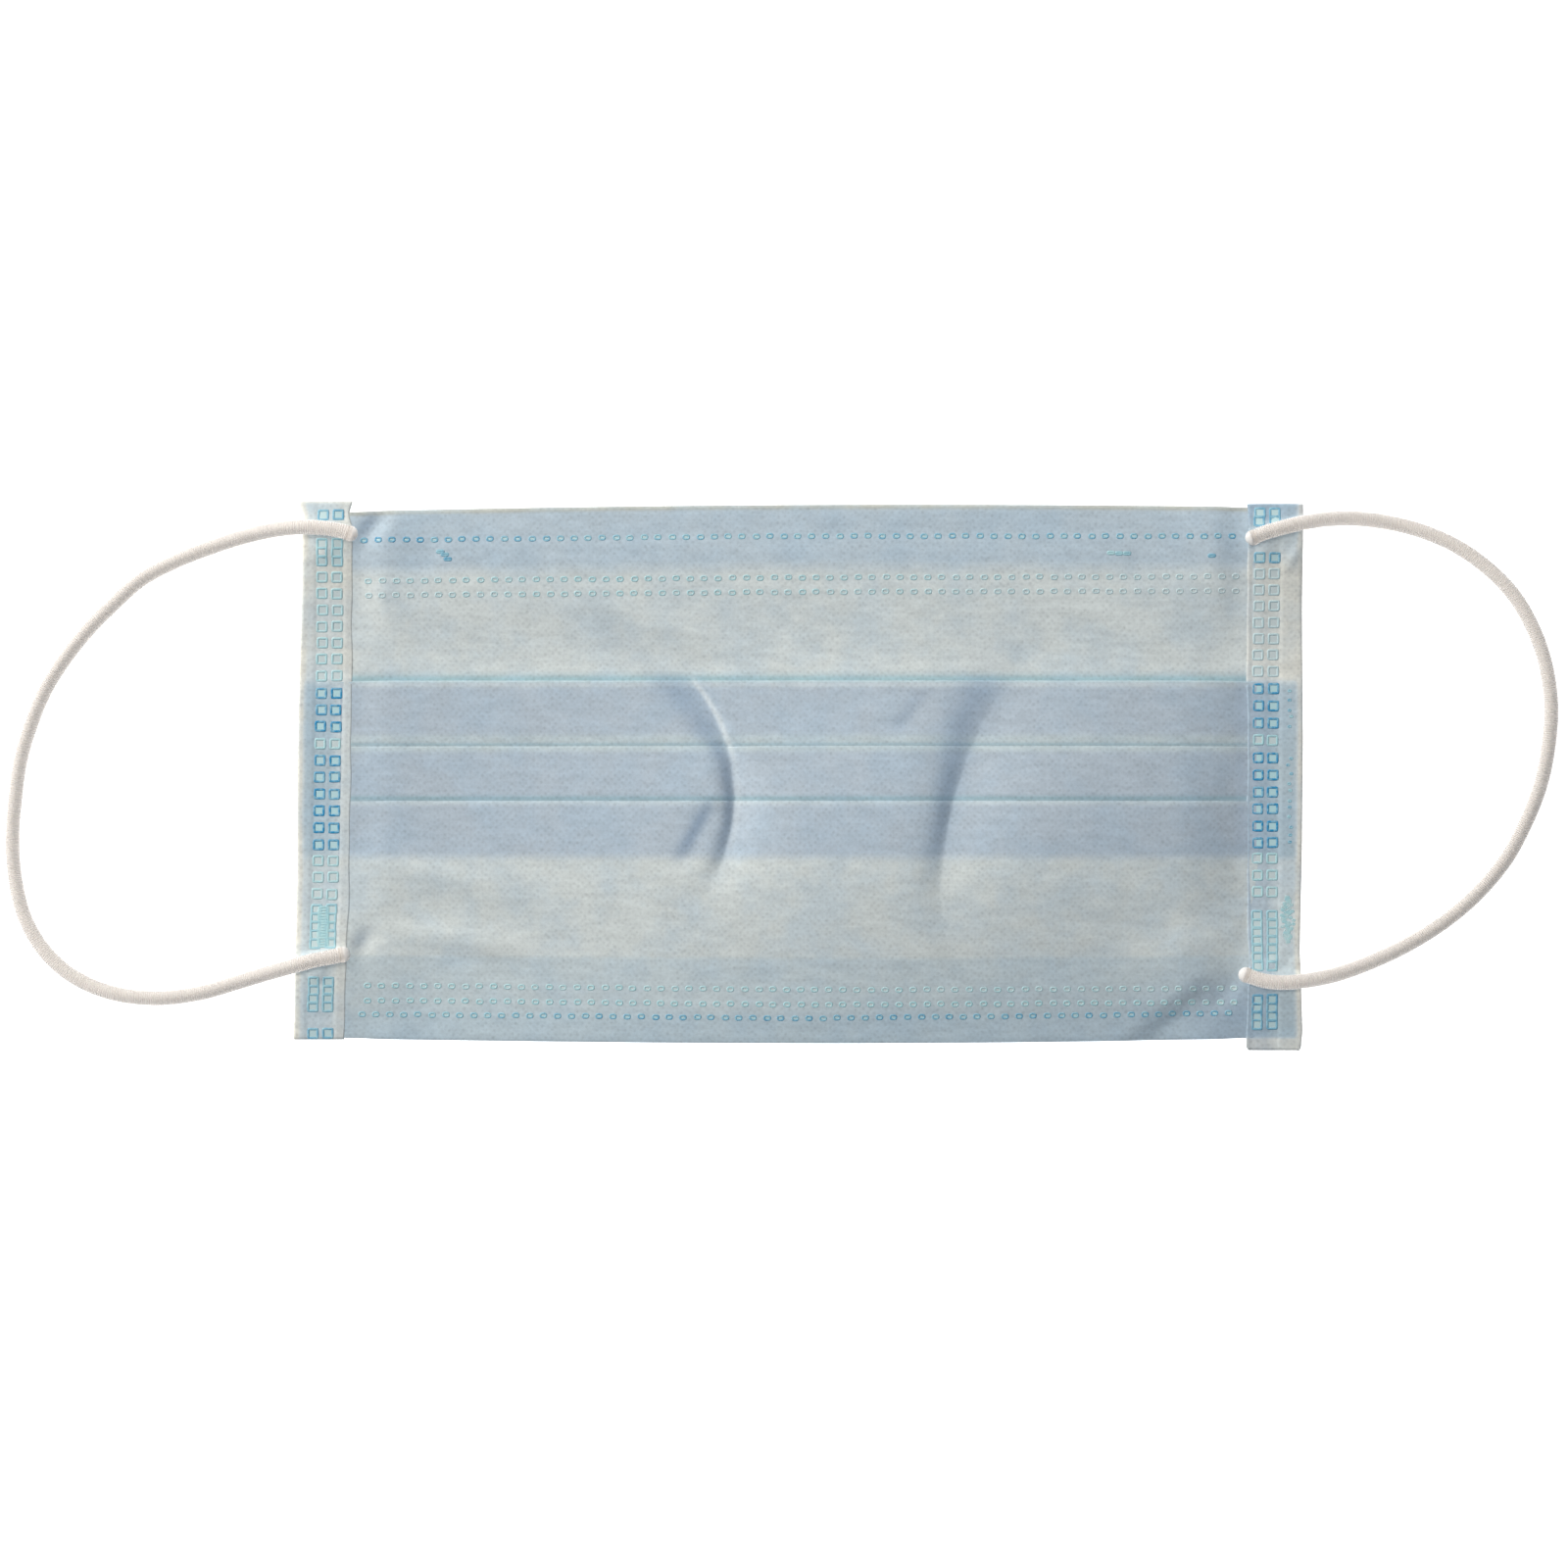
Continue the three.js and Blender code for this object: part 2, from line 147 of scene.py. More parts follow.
left_loop_route = [
    (-77.7, 41.9, 4.9), (-79.8, 42.5, 5.15), (-82.9, 42.9, 5.35), (-86.5, 43.0, 5.25), (-91.5, 42.5, 4.05),
    (-97.0, 41.3, 2.45), (-103.0, 39.4, 1.5), (-109.0, 37.0, 1.4), (-114.5, 34.0, 1.4),
    (-119.0, 30.0, 1.4), (-123.5, 25.5, 1.4), (-127.5, 20.5, 1.4), (-131.0, 15.0, 1.4),
    (-133.5, 9.0, 1.4), (-135.3, 3.0, 1.4), (-136.3, -4.0, 1.4), (-136.8, -11.0, 1.4),
    (-136.3, -18.0, 1.4), (-134.7, -24.5, 1.4), (-131.6, -30.0, 1.4), (-127.0, -34.4, 1.4),
    (-120.5, -37.5, 1.4), (-112.5, -38.7, 1.4), (-104.5, -37.9, 1.5), (-97.5, -35.9, 2.45),
    (-92.3, -34.3, 4.05), (-87.4, -32.9, 5.25), (-83.6, -31.9, 5.35), (-81.0, -31.4, 5.15),
    (-79.0, -31.0, 4.9),
]
right_loop_route = [
    (78.6, 41.2, 4.9), (80.5, 42.0, 5.15), (83.6, 42.9, 5.35), (87.4, 43.8, 5.25), (92.0, 44.5, 4.05),
    (97.5, 44.6, 2.45), (103.5, 43.8, 1.5), (109.0, 42.3, 1.4), (114.5, 39.8, 1.4), (119.5, 36.3, 1.4),
    (124.0, 31.8, 1.4), (127.5, 26.0, 1.4), (129.8, 19.5, 1.4), (130.8, 12.5, 1.4), (130.4, 5.5, 1.4),
    (129.0, -1.5, 1.4), (126.5, -8.0, 1.4), (123.0, -14.5, 1.4), (118.0, -20.5, 1.4),
    (112.5, -25.2, 1.45), (106.0, -29.3, 1.65), (99.5, -32.3, 2.55), (93.0, -34.5, 4.05),
    (87.5, -35.5, 5.25), (83.4, -35.8, 5.35), (80.0, -35.4, 5.15), (77.4, -34.5, 4.9),
]


def smooth_route(route_mm, parts=8):
    """Centripetal Catmull-Rom points through a route given in millimetres, in metres."""
    points = [Vector(p) * MM for p in route_mm]
    points = [points[0] * 2 - points[1]] + points + [points[-1] * 2 - points[-2]]
    line = []
    for p0, p1, p2, p3 in zip(points, points[1:], points[2:], points[3:]):
        t1 = (p1 - p0).length ** 0.5
        t2 = t1 + (p2 - p1).length ** 0.5
        t3 = t2 + (p3 - p2).length ** 0.5
        for k in range(parts):
            t = t1 + (t2 - t1) * k / parts
            a1 = p0 * ((t1 - t) / t1) + p1 * (t / t1)
            a2 = p1 * ((t2 - t) / (t2 - t1)) + p2 * ((t - t1) / (t2 - t1))
            a3 = p2 * ((t3 - t) / (t3 - t2)) + p3 * ((t - t2) / (t3 - t2))
            b1 = a1 * ((t2 - t) / t2) + a2 * (t / t2)
            b2 = a2 * ((t3 - t) / (t3 - t1)) + a3 * ((t - t1) / (t3 - t1))
            line.append(b1 * ((t2 - t) / (t2 - t1)) + b2 * ((t - t1) / (t2 - t1)))
    line.append(points[-2])
    return line


def dress(tree, shader, colour, bump, values):
    """Links a colour and a relief to a material's shader, and sets the shader's own values."""
    tree.links.new(colour, shader.inputs["Base Color"])
    tree.links.new(bump.outputs["Normal"], shader.inputs["Normal"])
    for name, value in values.items():
        shader.inputs[name].default_value = value


def elastic_material():
    """Knitted polyester elastic: off-white, quite matt, and finely mottled by its loose filaments."""
    material, tree, shader = new_material("knitted_polyester_elastic")
    place = add_node(tree, "ShaderNodeTexCoord").outputs["Object"]
    fibres = add_node(tree, "ShaderNodeTexNoise", {"Vector": place, "Scale": 2500.0, "Detail": 3.0})
    shade = add_node(tree, "ShaderNodeMapRange", {"Value": fibres, "To Min": 0.0, "To Max": 1.0})
    colour = add_node(
        tree, "ShaderNodeMix", {0: shade, 6: linear("#DBD5CF"), 7: linear("#E7E2DE")}, data_type="RGBA"
    )
    bump = add_node(tree, "ShaderNodeBump", {"Height": fibres, "Strength": 0.3, "Distance": 0.05 * MM})
    # light passes some way through the loose yarn, which softens the shaded side
    dress(tree, shader, colour.outputs[2], bump, {
        "Roughness": 0.9, "Specular IOR Level": 0.3, "Subsurface Weight": 0.85,
        "Subsurface Radius": (1.0, 0.95, 0.9), "Subsurface Scale": 3.0 * MM,
    })
    return material


def new_tree(name, inputs):
    """A Geometry Nodes tree with its named inputs, and the node that gives them."""
    tree = bpy.data.node_groups.new(name, "GeometryNodeTree")
    for label, kind in {"Geometry": "Geometry", **inputs}.items():
        tree.interface.new_socket(label, in_out="INPUT", socket_type="NodeSocket" + kind)
    tree.interface.new_socket("Geometry", in_out="OUTPUT", socket_type="NodeSocketGeometry")
    return tree, add_node(tree, "NodeGroupInput")


def finish_tree(tree, geometry, material):
    """Ends a tree whose instances are already realized: smooth, and of one material."""
    soft = add_node(tree, "GeometryNodeSetShadeSmooth", {"Geometry": geometry})
    finish = add_node(tree, "GeometryNodeSetMaterial", {"Geometry": soft, "Material": material})
    add_node(tree, "NodeGroupOutput", {"Geometry": finish})


def knit_tree(material):
    """A core along the route, with one ring of yarn for every course of the knit."""
    tree, given = new_tree("knit_courses", {"Cord Diameter": "Float", "Course Pitch": "Float"})
    radius = add_node(
        tree, "ShaderNodeMath", {0: given.outputs["Cord Diameter"], 1: 0.5}, operation="MULTIPLY"
    )
    yarn_radius = add_node(
        tree, "ShaderNodeMath", {0: given.outputs["Course Pitch"], 1: 0.5}, operation="MULTIPLY"
    )
    core_radius = add_node(tree, "ShaderNodeMath", {0: radius, 1: yarn_radius}, operation="SUBTRACT")
    curve = add_node(tree, "GeometryNodeMeshToCurve", {"Mesh": given.outputs["Geometry"]})
    fine = add_node(
        tree, "GeometryNodeResampleCurve",
        {"Curve": curve, "Length": given.outputs["Course Pitch"]},
        mode="LENGTH",
    )
    core_ring = add_node(tree, "GeometryNodeCurvePrimitiveCircle", {"Resolution": 20, "Radius": core_radius})
    coarse = add_node(tree, "GeometryNodeResampleCurve", {"Curve": curve, "Length": 1.2 * MM}, mode="LENGTH")
    core = add_node(
        tree, "GeometryNodeCurveToMesh", {"Curve": coarse, "Profile Curve": core_ring, "Fill Caps": True}
    )
    ring_line = add_node(tree, "GeometryNodeCurvePrimitiveCircle", {"Resolution": 24, "Radius": core_radius})
    yarn = add_node(tree, "GeometryNodeCurvePrimitiveCircle", {"Resolution": 5, "Radius": yarn_radius})
    ring = add_node(tree, "GeometryNodeCurveToMesh", {"Curve": ring_line, "Profile Curve": yarn})
    tangent = add_node(tree, "GeometryNodeInputTangent")
    number = add_node(tree, "GeometryNodeInputIndex")
    # every other course is turned by half a stitch, as knit is
    half_stitch = add_node(tree, "ShaderNodeMath", {0: number, 1: math.pi / 24}, operation="MULTIPLY")
    spin = add_node(tree, "ShaderNodeCombineXYZ", {"Z": half_stitch})
    turned = add_node(tree, "FunctionNodeAlignRotationToVector", {"Vector": tangent}, axis="Z")
    rotated = add_node(
        tree, "FunctionNodeRotateRotation", {"Rotation": turned, "Rotate By": spin}, rotation_space="LOCAL"
    )
    rings = add_node(
        tree, "GeometryNodeInstanceOnPoints", {"Points": fine, "Instance": ring, "Rotation": rotated}
    )
    # the hidden end is doubled back under the binding, so what shows is a rounded bend
    ends = add_node(tree, "GeometryNodeCurveEndpointSelection", {"Start Size": 1, "End Size": 1})
    bend = add_node(tree, "GeometryNodeMeshUVSphere", {"Segments": 20, "Rings": 12, "Radius": radius})
    bends = add_node(
        tree, "GeometryNodeInstanceOnPoints",
        {"Points": coarse, "Selection": ends, "Instance": bend,
         "Scale": (1.02, 1.02, 1.02)},
    )
    both = add_node(tree, "GeometryNodeJoinGeometry")
    tree.links.new(core.outputs["Mesh"], both.inputs[0])
    tree.links.new(bends.outputs["Instances"], both.inputs[0])
    tree.links.new(rings.outputs["Instances"], both.inputs[0])
    real = add_node(tree, "GeometryNodeRealizeInstances", {"Geometry": both})
    finish_tree(tree, real, material)
    return tree


def grow(seed_piece, tree, values):
    """Runs a node tree on a piece and keeps the result as its plain mesh."""
    modifier = seed_piece.modifiers.new(tree.name, "NODES")
    modifier.node_group = tree
    sockets = {s.name: s.identifier for s in tree.interface.items_tree if s.in_out == "INPUT"}
    for name, value in values.items():
        modifier[sockets[name]] = value
    bpy.context.view_layer.update()
    grown = bpy.data.meshes.new_from_object(seed_piece.evaluated_get(bpy.context.evaluated_depsgraph_get()))
    seed_piece.modifiers.remove(modifier)
    old = seed_piece.data
    grown.name = seed_piece.name
    seed_piece.data = grown
    bpy.data.meshes.remove(old)
    return seed_piece


def stand_for(piece, node):
    """Fixes a finished piece to the mask's one body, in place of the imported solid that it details."""
    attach(piece, "root")
    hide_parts(node)


def ear_loop(name, node, route_mm, tree):
    """One loop: its route as a chain of edges, which the tree turns into knitted cord."""
    line = smooth_route(route_mm)
    piece = link_mesh(name, line, edges=[(i, i + 1) for i in range(len(line) - 1)])
    grow(piece, tree, {"Cord Diameter": cord_diameter, "Course Pitch": course_pitch})
    stand_for(piece, node)


knit = knit_tree(elastic_material())
ear_loop("left_elastic_loop", "left_ear_loop", left_loop_route, knit)
ear_loop("right_elastic_loop", "right_ear_loop", right_loop_route, knit)

# ------------------------------------------------------------------------------------------------
# Panel: one sheet of three plies, white spunbond inside, a meltblown filter and light blue spunbond
# outside. It is folded into three pleats, turned under along both long edges, and pressed.
# ------------------------------------------------------------------------------------------------
cloth = 0.40 * MM                               # the three plies together
levels = (0.22 * MM, 0.64 * MM, 1.06 * MM)      # middle of the lowest, the hidden and the upper layer
nose_hem_level = 1.90 * MM                      # the nose hem stands off its flap: the wire is between
chin_hem_level = 0.66 * MM
nose_edge, chin_edge = 47.2 * MM, -46.5 * MM
nose_hem_end, chin_hem_end = 31.0 * MM, -31.3 * MM
pleats = (                                      # where each pleat's edge shows, and where it folds below
    {"shows": 16.55 * MM, "hides": 6.5 * MM},
    {"shows": 5.25 * MM, "hides": -3.7 * MM},
    {"shows": -4.25 * MM, "hides": -13.65 * MM},
)
wire_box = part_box("nose_wire")
panel_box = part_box("mask_panel")


def ease(low, high, value):
    t = np.clip((value - low) / (high - low), 0.0, 1.0)
    return t * t * (3 - 2 * t)


def bell(value, centre, half):
    return 0.5 + 0.5 * np.cos(np.pi * np.minimum(1.0, np.abs(value - centre) / half))


def table_of(columns, *rows):
    """Rows of numbers under named columns."""
    return [dict(zip(columns.split(), row)) for row in rows]


def panel_path():
    """The cloth's middle line in the YZ plane, as (y, z), from the nose hem's free end to the chin's."""
    path = [(nose_hem_end, levels[0])]

    def run(y, z, step):
        y0, z0 = path[-1]
        count = max(1, math.ceil(abs(y - y0) / step))
        for i in range(1, count + 1):
            t = i / count
            path.append((y0 + (y - y0) * t, z0 + (z - z0) * t * t * (3 - 2 * t)))

    def turn(reach, z_to, step):
        y0, z0 = path[-1]
        side = 1 if reach > y0 else -1
        radius = abs(z_to - z0) / 2
        centre = reach - side * (radius + cloth / 2)
        run(centre, z0, step)
        parts = 7
        for i in range(1, parts + 1):
            angle = math.pi * (i / parts - 0.5)
            rise = (z_to - z0) * (1 + math.sin(angle)) / 2
            path.append((centre + side * radius * math.cos(angle), z0 + rise))

    shown, hidden = 0.95 * MM, 3.2 * MM
    turn(nose_edge, nose_hem_level, hidden)
    run(nose_hem_end + 4 * MM, nose_hem_level, shown)
    run(pleats[0]["shows"] + 1.4 * MM, levels[0], shown)
    for i, pleat in enumerate(pleats):
        turn(pleat["hides"], levels[1], hidden)
        turn(pleat["shows"], levels[2], hidden)
        if i + 1 < len(pleats):
            # the edge of the next pleat is pressed a little way into this band, which then dips under it
            edge = pleats[i + 1]["shows"]
            run(edge + 0.9 * MM, levels[2], shown)
            run(edge - 0.10 * MM, levels[2] - 0.09 * MM, 0.5 * MM)
            run(edge - 0.28 * MM, levels[2] - 0.12 * MM, 0.5 * MM)
            run(edge - 0.60 * MM, levels[0], hidden)
        else:
            run(pleat["hides"], levels[2], shown)
    run(chin_hem_end, chin_hem_level, shown)
    turn(chin_edge, levels[0], shown)
    run(chin_hem_end, levels[0], hidden)
    return np.array(path)


# Creases that were pressed into the folded mask, at rising y, in mm: x of the line, the share of the bulge
# that it takes away, and the widths of its soft left flank and its sharper right one.
left_crease = table_of(
    "y x press soft sharp",
    (-24, -17.6, 0, 4, 5), (-19, -15, 0.1, 3.2, 5), (-14, -12.9, 0.29, 2, 4.4),
    (-8.5, -11.6, 0.45, 1.5, 4.2), (-4, -11.2, 0.51, 1.7, 4), (2, -11.8, 0.54, 2, 3.4),
    (5, -12.6, 0.58, 2.9, 2.2), (7, -13.4, 0.52, 4.2, 1.4), (10, -14.6, 0.5, 5, 1.2),
    (14, -17, 0.48, 6, 1.6), (18, -20.4, 0.44, 7, 4.5), (24, -27, 0.4, 8, 8), (33, -37.5, 0, 9, 9),
)
right_crease = table_of(
    "y x press soft sharp",
    (-37, 30.5, 0, 4, 5), (-30, 27, 0.05, 3, 4), (-25, 24.9, 0.09, 3, 5), (-20, 24.3, 0.13, 3.2, 7),
    (-14, 25, 0.24, 2.7, 8.5), (-8, 26, 0.36, 2.5, 9), (-3, 27.2, 0.44, 3, 9.5), (3, 29.2, 0.49, 4, 10),
    (9, 31.8, 0.52, 5.4, 10), (16, 35.8, 0.5, 7, 9), (24, 41, 0.4, 9, 8), (33, 47.5, 0, 9, 9),
)
# A second, short stroke beside the left crease, which steps down towards it.
left_stroke = table_of(
    "y x press soft sharp",
    (-17, -20.6, 0, 2.3, 4.5), (-12, -18.2, 0.16, 2.3, 5), (-7, -15.6, 0.16, 2.1, 4.2),
    (-3.5, -14.2, 0, 1.8, 3),
)
# A faint one lies to the left of the right crease.
right_stroke = table_of(
    "y x press soft sharp",
    (6.5, 17, 0, 2.2, 3.5), (9, 18.6, 0.12, 2.2, 3.5), (13.5, 22, 0.12, 2.2, 3.5),
    (16, 24, 0, 2.2, 3.5),
)
# The relaxed cloth bulges up from the table, on past the middle, and flattens towards the bindings, in mm.
bulge = {"x": 18, "y": -18, "half_x": 88, "half_y": 50, "height": 5.5, "fades_from": 66.0, "flat_at": 79.0}
corners = table_of(
    "x y turn long wide",
    (-82.0, 42.4, 0, 12, 9), (-82.0, -33.0, 0, 12, 11), (82.0, 42.2, 0, 12, 9), (77.0, -35.4, 0, 12, 7),
)
corner_lift = 1.5
# Shallow waves in the relaxed cloth: middle, direction, half-length and half-width, and height, in mm.
waves = table_of(
    "x y turn long wide height",
    (-62, -17.8, -12, 17, 3, 0.46), (-59, -28.7, -10, 12, 2, 0.62), (-68, -24, 20, 8, 3, -0.34),
    (-20, 25, -18, 16, 2.6, 0.48), (17, 25.5, -38, 9, 2.8, 0.3), (58, 26, -28, 12, 3.6, 0.2),
    (67, 20.5, -42, 8, 3, 0.16), (71, -28.5, 20, 12, 3.4, 0.55), (74.2, -37.6, 48, 6, 1.5, -0.38),
    (-58, 41, 4, 16, 2.4, 0.12), (-73.6, 43.4, 52, 3.4, 1.5, -0.85), (-76, -29.3, 48, 3.4, 1.6, -0.55),
    (74.5, 37.5, -30, 4, 1.8, -0.12), (8, -40, 3, 40, 3, 0.14),
)


def column_of(rows, name, y_mm):
    """Reads one column of a crease's rows at any y, on straight lines between them."""
    return np.interp(y_mm, [row["y"] for row in rows], [row[name] for row in rows])


def crease_press(rows, x_mm, y_mm):
    across = x_mm - column_of(rows, "x", y_mm)
    flank = np.where(across < 0, column_of(rows, "soft", y_mm), column_of(rows, "sharp", y_mm))
    return column_of(rows, "press", y_mm) * np.exp(-(np.abs(across / flank) ** 1.5))


def mound(x_mm, y_mm, spot):
    """An oval mound, 1 high, with the middle, direction, half-length and half-width of a table's row."""
    turn = math.radians(spot["turn"])
    along = (x_mm - spot["x"]) * math.cos(turn) + (y_mm - spot["y"]) * math.sin(turn)
    across = (y_mm - spot["y"]) * math.cos(turn) - (x_mm - spot["x"]) * math.sin(turn)
    return np.exp(-((along / spot["long"]) ** 2) - (across / spot["wide"]) ** 2)


def corner_rise(x_mm, y_mm):
    """How far the loops pull the mask's corners up off the table, in mm."""
    return sum(corner_lift * mound(x_mm, y_mm, corner) for corner in corners)


def lift(x, y):
    """How far the whole stack of layers stands off the table at (x, y), in metres."""
    x_mm, y_mm = x / MM, y / MM
    swell = bulge["height"] * bell(x_mm, bulge["x"], bulge["half_x"])
    swell = swell * bell(y_mm, bulge["y"], bulge["half_y"])
    swell = swell * ease(bulge["flat_at"], bulge["fades_from"], np.abs(x_mm))
    for crease in (left_crease, right_crease, left_stroke, right_stroke):
        swell = swell * (1 - crease_press(crease, x_mm, y_mm))
    # the lower right corner is held down by the weld, and the cloth breaks along a slanting line there
    past_line = 0.62 * (x_mm - 71.0) - 0.78 * (y_mm + 36.0)
    swell = swell * ease(2.0, -2.0, past_line)
    held = ease(78.5, 75.5, np.abs(x_mm))
    for wave in waves:
        swell = swell + held * wave["height"] * mound(x_mm, y_mm, wave)
    return np.maximum(swell + corner_rise(x_mm, y_mm), 0.0) * MM


def panel_columns():
    """X of the panel's columns: closer together at the creases, whose lines they follow."""
    samples, columns = 1800, 250
    xs = np.linspace(panel_box[0][0], panel_box[1][0], samples)
    near = np.exp(-((xs / MM + 12) / 5) ** 2) + np.exp(-((xs / MM - 28) / 5) ** 2)
    density = np.cumsum(0.75 + 1.4 * near)
    wanted = np.linspace(density[0], density[-1], columns)
    return np.interp(wanted, density, xs)


def panel_grid():
    """The middle surface of the folded cloth, as a grid of points with the flat y of each."""
    path = panel_path()
    xs = panel_columns()
    y = np.repeat(path[None, :, 0], len(xs), 0)
    z = np.repeat(path[None, :, 1], len(xs), 0)
    x = np.repeat(xs[:, None], len(path), 1)
    # columns lean with the crease that they are near
    y_mm = np.clip(y / MM, -22, 17)
    lean = 0.0
    for crease, middle in ((left_crease, -12.4), (right_crease, 28.2)):
        lean = lean + (column_of(crease, "x", y_mm) - middle) * np.exp(-((x / MM - middle) / 14) ** 2)
    x = x + MM * lean
    # the stack is pressed thin towards the bindings, whose welds go through it
    seam = np.maximum(ease(-71.4 * MM, -77.0 * MM, x), ease(71.6 * MM, 77.4 * MM, x))
    wire_middle = (wire_box[0][1] + wire_box[1][1]) / 2
    over_wire = ease(4.2 * MM, 1.4 * MM, np.abs(y - wire_middle))
    past_end = np.maximum(wire_box[0][0] - x, x - wire_box[1][0])
    on_wire = ease(3.0 * MM, 0.2 * MM, past_end) * over_wire * (z > (levels[0] + nose_hem_level) / 2)
    clear = wire_box[1][2] + cloth / 2 - nose_hem_level
    # both long edges are slightly bowed
    bow_nose = -1.2 * MM * ((x / MM - 20) / 97) ** 2 * ease(18 * MM, nose_edge, y)
    bow_chin = 0.7 * MM * (x / MM / 78) ** 2 * ease(-18 * MM, chin_edge, y)
    bowed = y + np.where(y > 0, bow_nose, bow_chin)
    height = z * (1 - 0.6 * seam) + seam * 0.35 * MM + lift(x, bowed) + on_wire * clear
    points = np.stack([x, bowed, height], axis=-1)
    return points, y, cloth * (1 - 0.6 * seam)


# Painted shadow by the left loop's ends, placed like a wave, with its share of painted shade for height.
loop_end_shadows = table_of(
    "x y turn long wide share", (-75.3, 43.6, 50.3, 3.0, 1.2, 0.42), (-76.6, -28.7, 50.3, 2.4, 1.3, 0.32)
)


def crease_marks(points):
    """Painted shade, darker and bluer, along the creases, over the lower right, beside the right binding and
    by the left loop's ends; and a paler line beside the left crease.
    """
    x_mm, y_mm = points[:, :, 0] / MM, points[:, :, 1] / MM
    # painted shade: each crease and stroke is darkened and blued along its valley
    pressed = 0.0
    for crease, share in ((left_crease, 1.0), (right_crease, 1.0), (left_stroke, 4.8), (right_stroke, 2.4)):
        flank = 0.6 * column_of(crease, "soft", y_mm)
        across = x_mm - column_of(crease, "x", y_mm) + flank
        pressed = pressed + share * column_of(crease, "press", y_mm) * np.exp(-((across / flank) ** 2))
    pressed = 0.75 * pressed * (0.25 + 0.75 * ease(-17.0, -12.5, y_mm) * ease(17.4, 16.0, y_mm))
    # painted shade over the lower right and its corner and beside the right binding, and painted shadow by
    # the left loop's ends
    pressed = pressed + 0.14 * ease(20.0, 60.0, x_mm) * ease(-33.0, -42.0, y_mm)
    pressed = pressed + 0.26 * ease(62.0, 75.0, x_mm) * ease(-31.0, -38.0, y_mm)
    pressed = pressed + 0.20 * ease(74.8, 77.0, x_mm) * ease(-14.5, -13.0, y_mm) * ease(16.8, 16.0, y_mm)
    for spot in loop_end_shadows:
        pressed = pressed + spot["share"] * mound(x_mm, y_mm, spot)
    # a paler line along the right side of the left crease
    across = x_mm - column_of(left_crease, "x", y_mm)
    strength = (0.15 + 0.35 * ease(2.0, 6.0, y_mm)) * ease(-15.0, -10.0, y_mm) * ease(17.6, 15.4, y_mm)
    pinched = strength * np.exp(-(((across - 0.75) / 0.6) ** 2))
    return pressed, pinched


def walled_sheet(name, points, thickness, attributes, materials):
    """A closed sheet round a grid of middle points; its first side is the grid's left-hand side."""
    rows, cols = points.shape[:2]
    along = np.gradient(points, axis=0)
    across = np.gradient(points, axis=1)
    normal = np.cross(across, along)
    normal /= np.linalg.norm(normal, axis=-1, keepdims=True)
    half = (thickness / 2)[..., None]
    inner = points + normal * half
    outer = points - normal * half
    vertices = np.concatenate([inner.reshape(-1, 3), outer.reshape(-1, 3)])
    index = np.arange(rows * cols).reshape(rows, cols)
    a, b = index[:-1, :-1].ravel(), index[1:, :-1].ravel()
    c, d = index[1:, 1:].ravel(), index[:-1, 1:].ravel()
    back = rows * cols
    front_faces = np.stack([a, d, c, b], axis=1)
    back_faces = np.stack([a, b, c, d], axis=1) + back
    rim = np.concatenate([index[:, 0], index[-1, 1:], index[-2::-1, -1], index[0, -2:0:-1]])
    ahead = np.roll(rim, -1)
    rim_faces = np.stack([rim, ahead, ahead + back, rim + back], axis=1)
    faces = np.concatenate([front_faces, back_faces, rim_faces])
    piece = link_mesh(name, vertices.tolist(), faces=faces.tolist())
    for material in materials:
        piece.data.materials.append(material)
    side = np.zeros(len(faces), dtype=np.int32)
    side[len(front_faces):len(front_faces) + len(back_faces)] = len(materials) - 1
    piece.data.polygons.foreach_set("material_index", side)
    # the cut edges are crisp: a soft shade there would show as a dark line beside the cloth
    soft = [True] * (2 * len(front_faces)) + [False] * len(rim_faces)
    piece.data.polygons.foreach_set("use_smooth", soft)
    for key, values in attributes.items():
        layer = piece.data.attributes.new(key, "FLOAT", "POINT")
        layer.data.foreach_set("value", np.tile(values.ravel(), 2).astype(np.float32))
    return piece


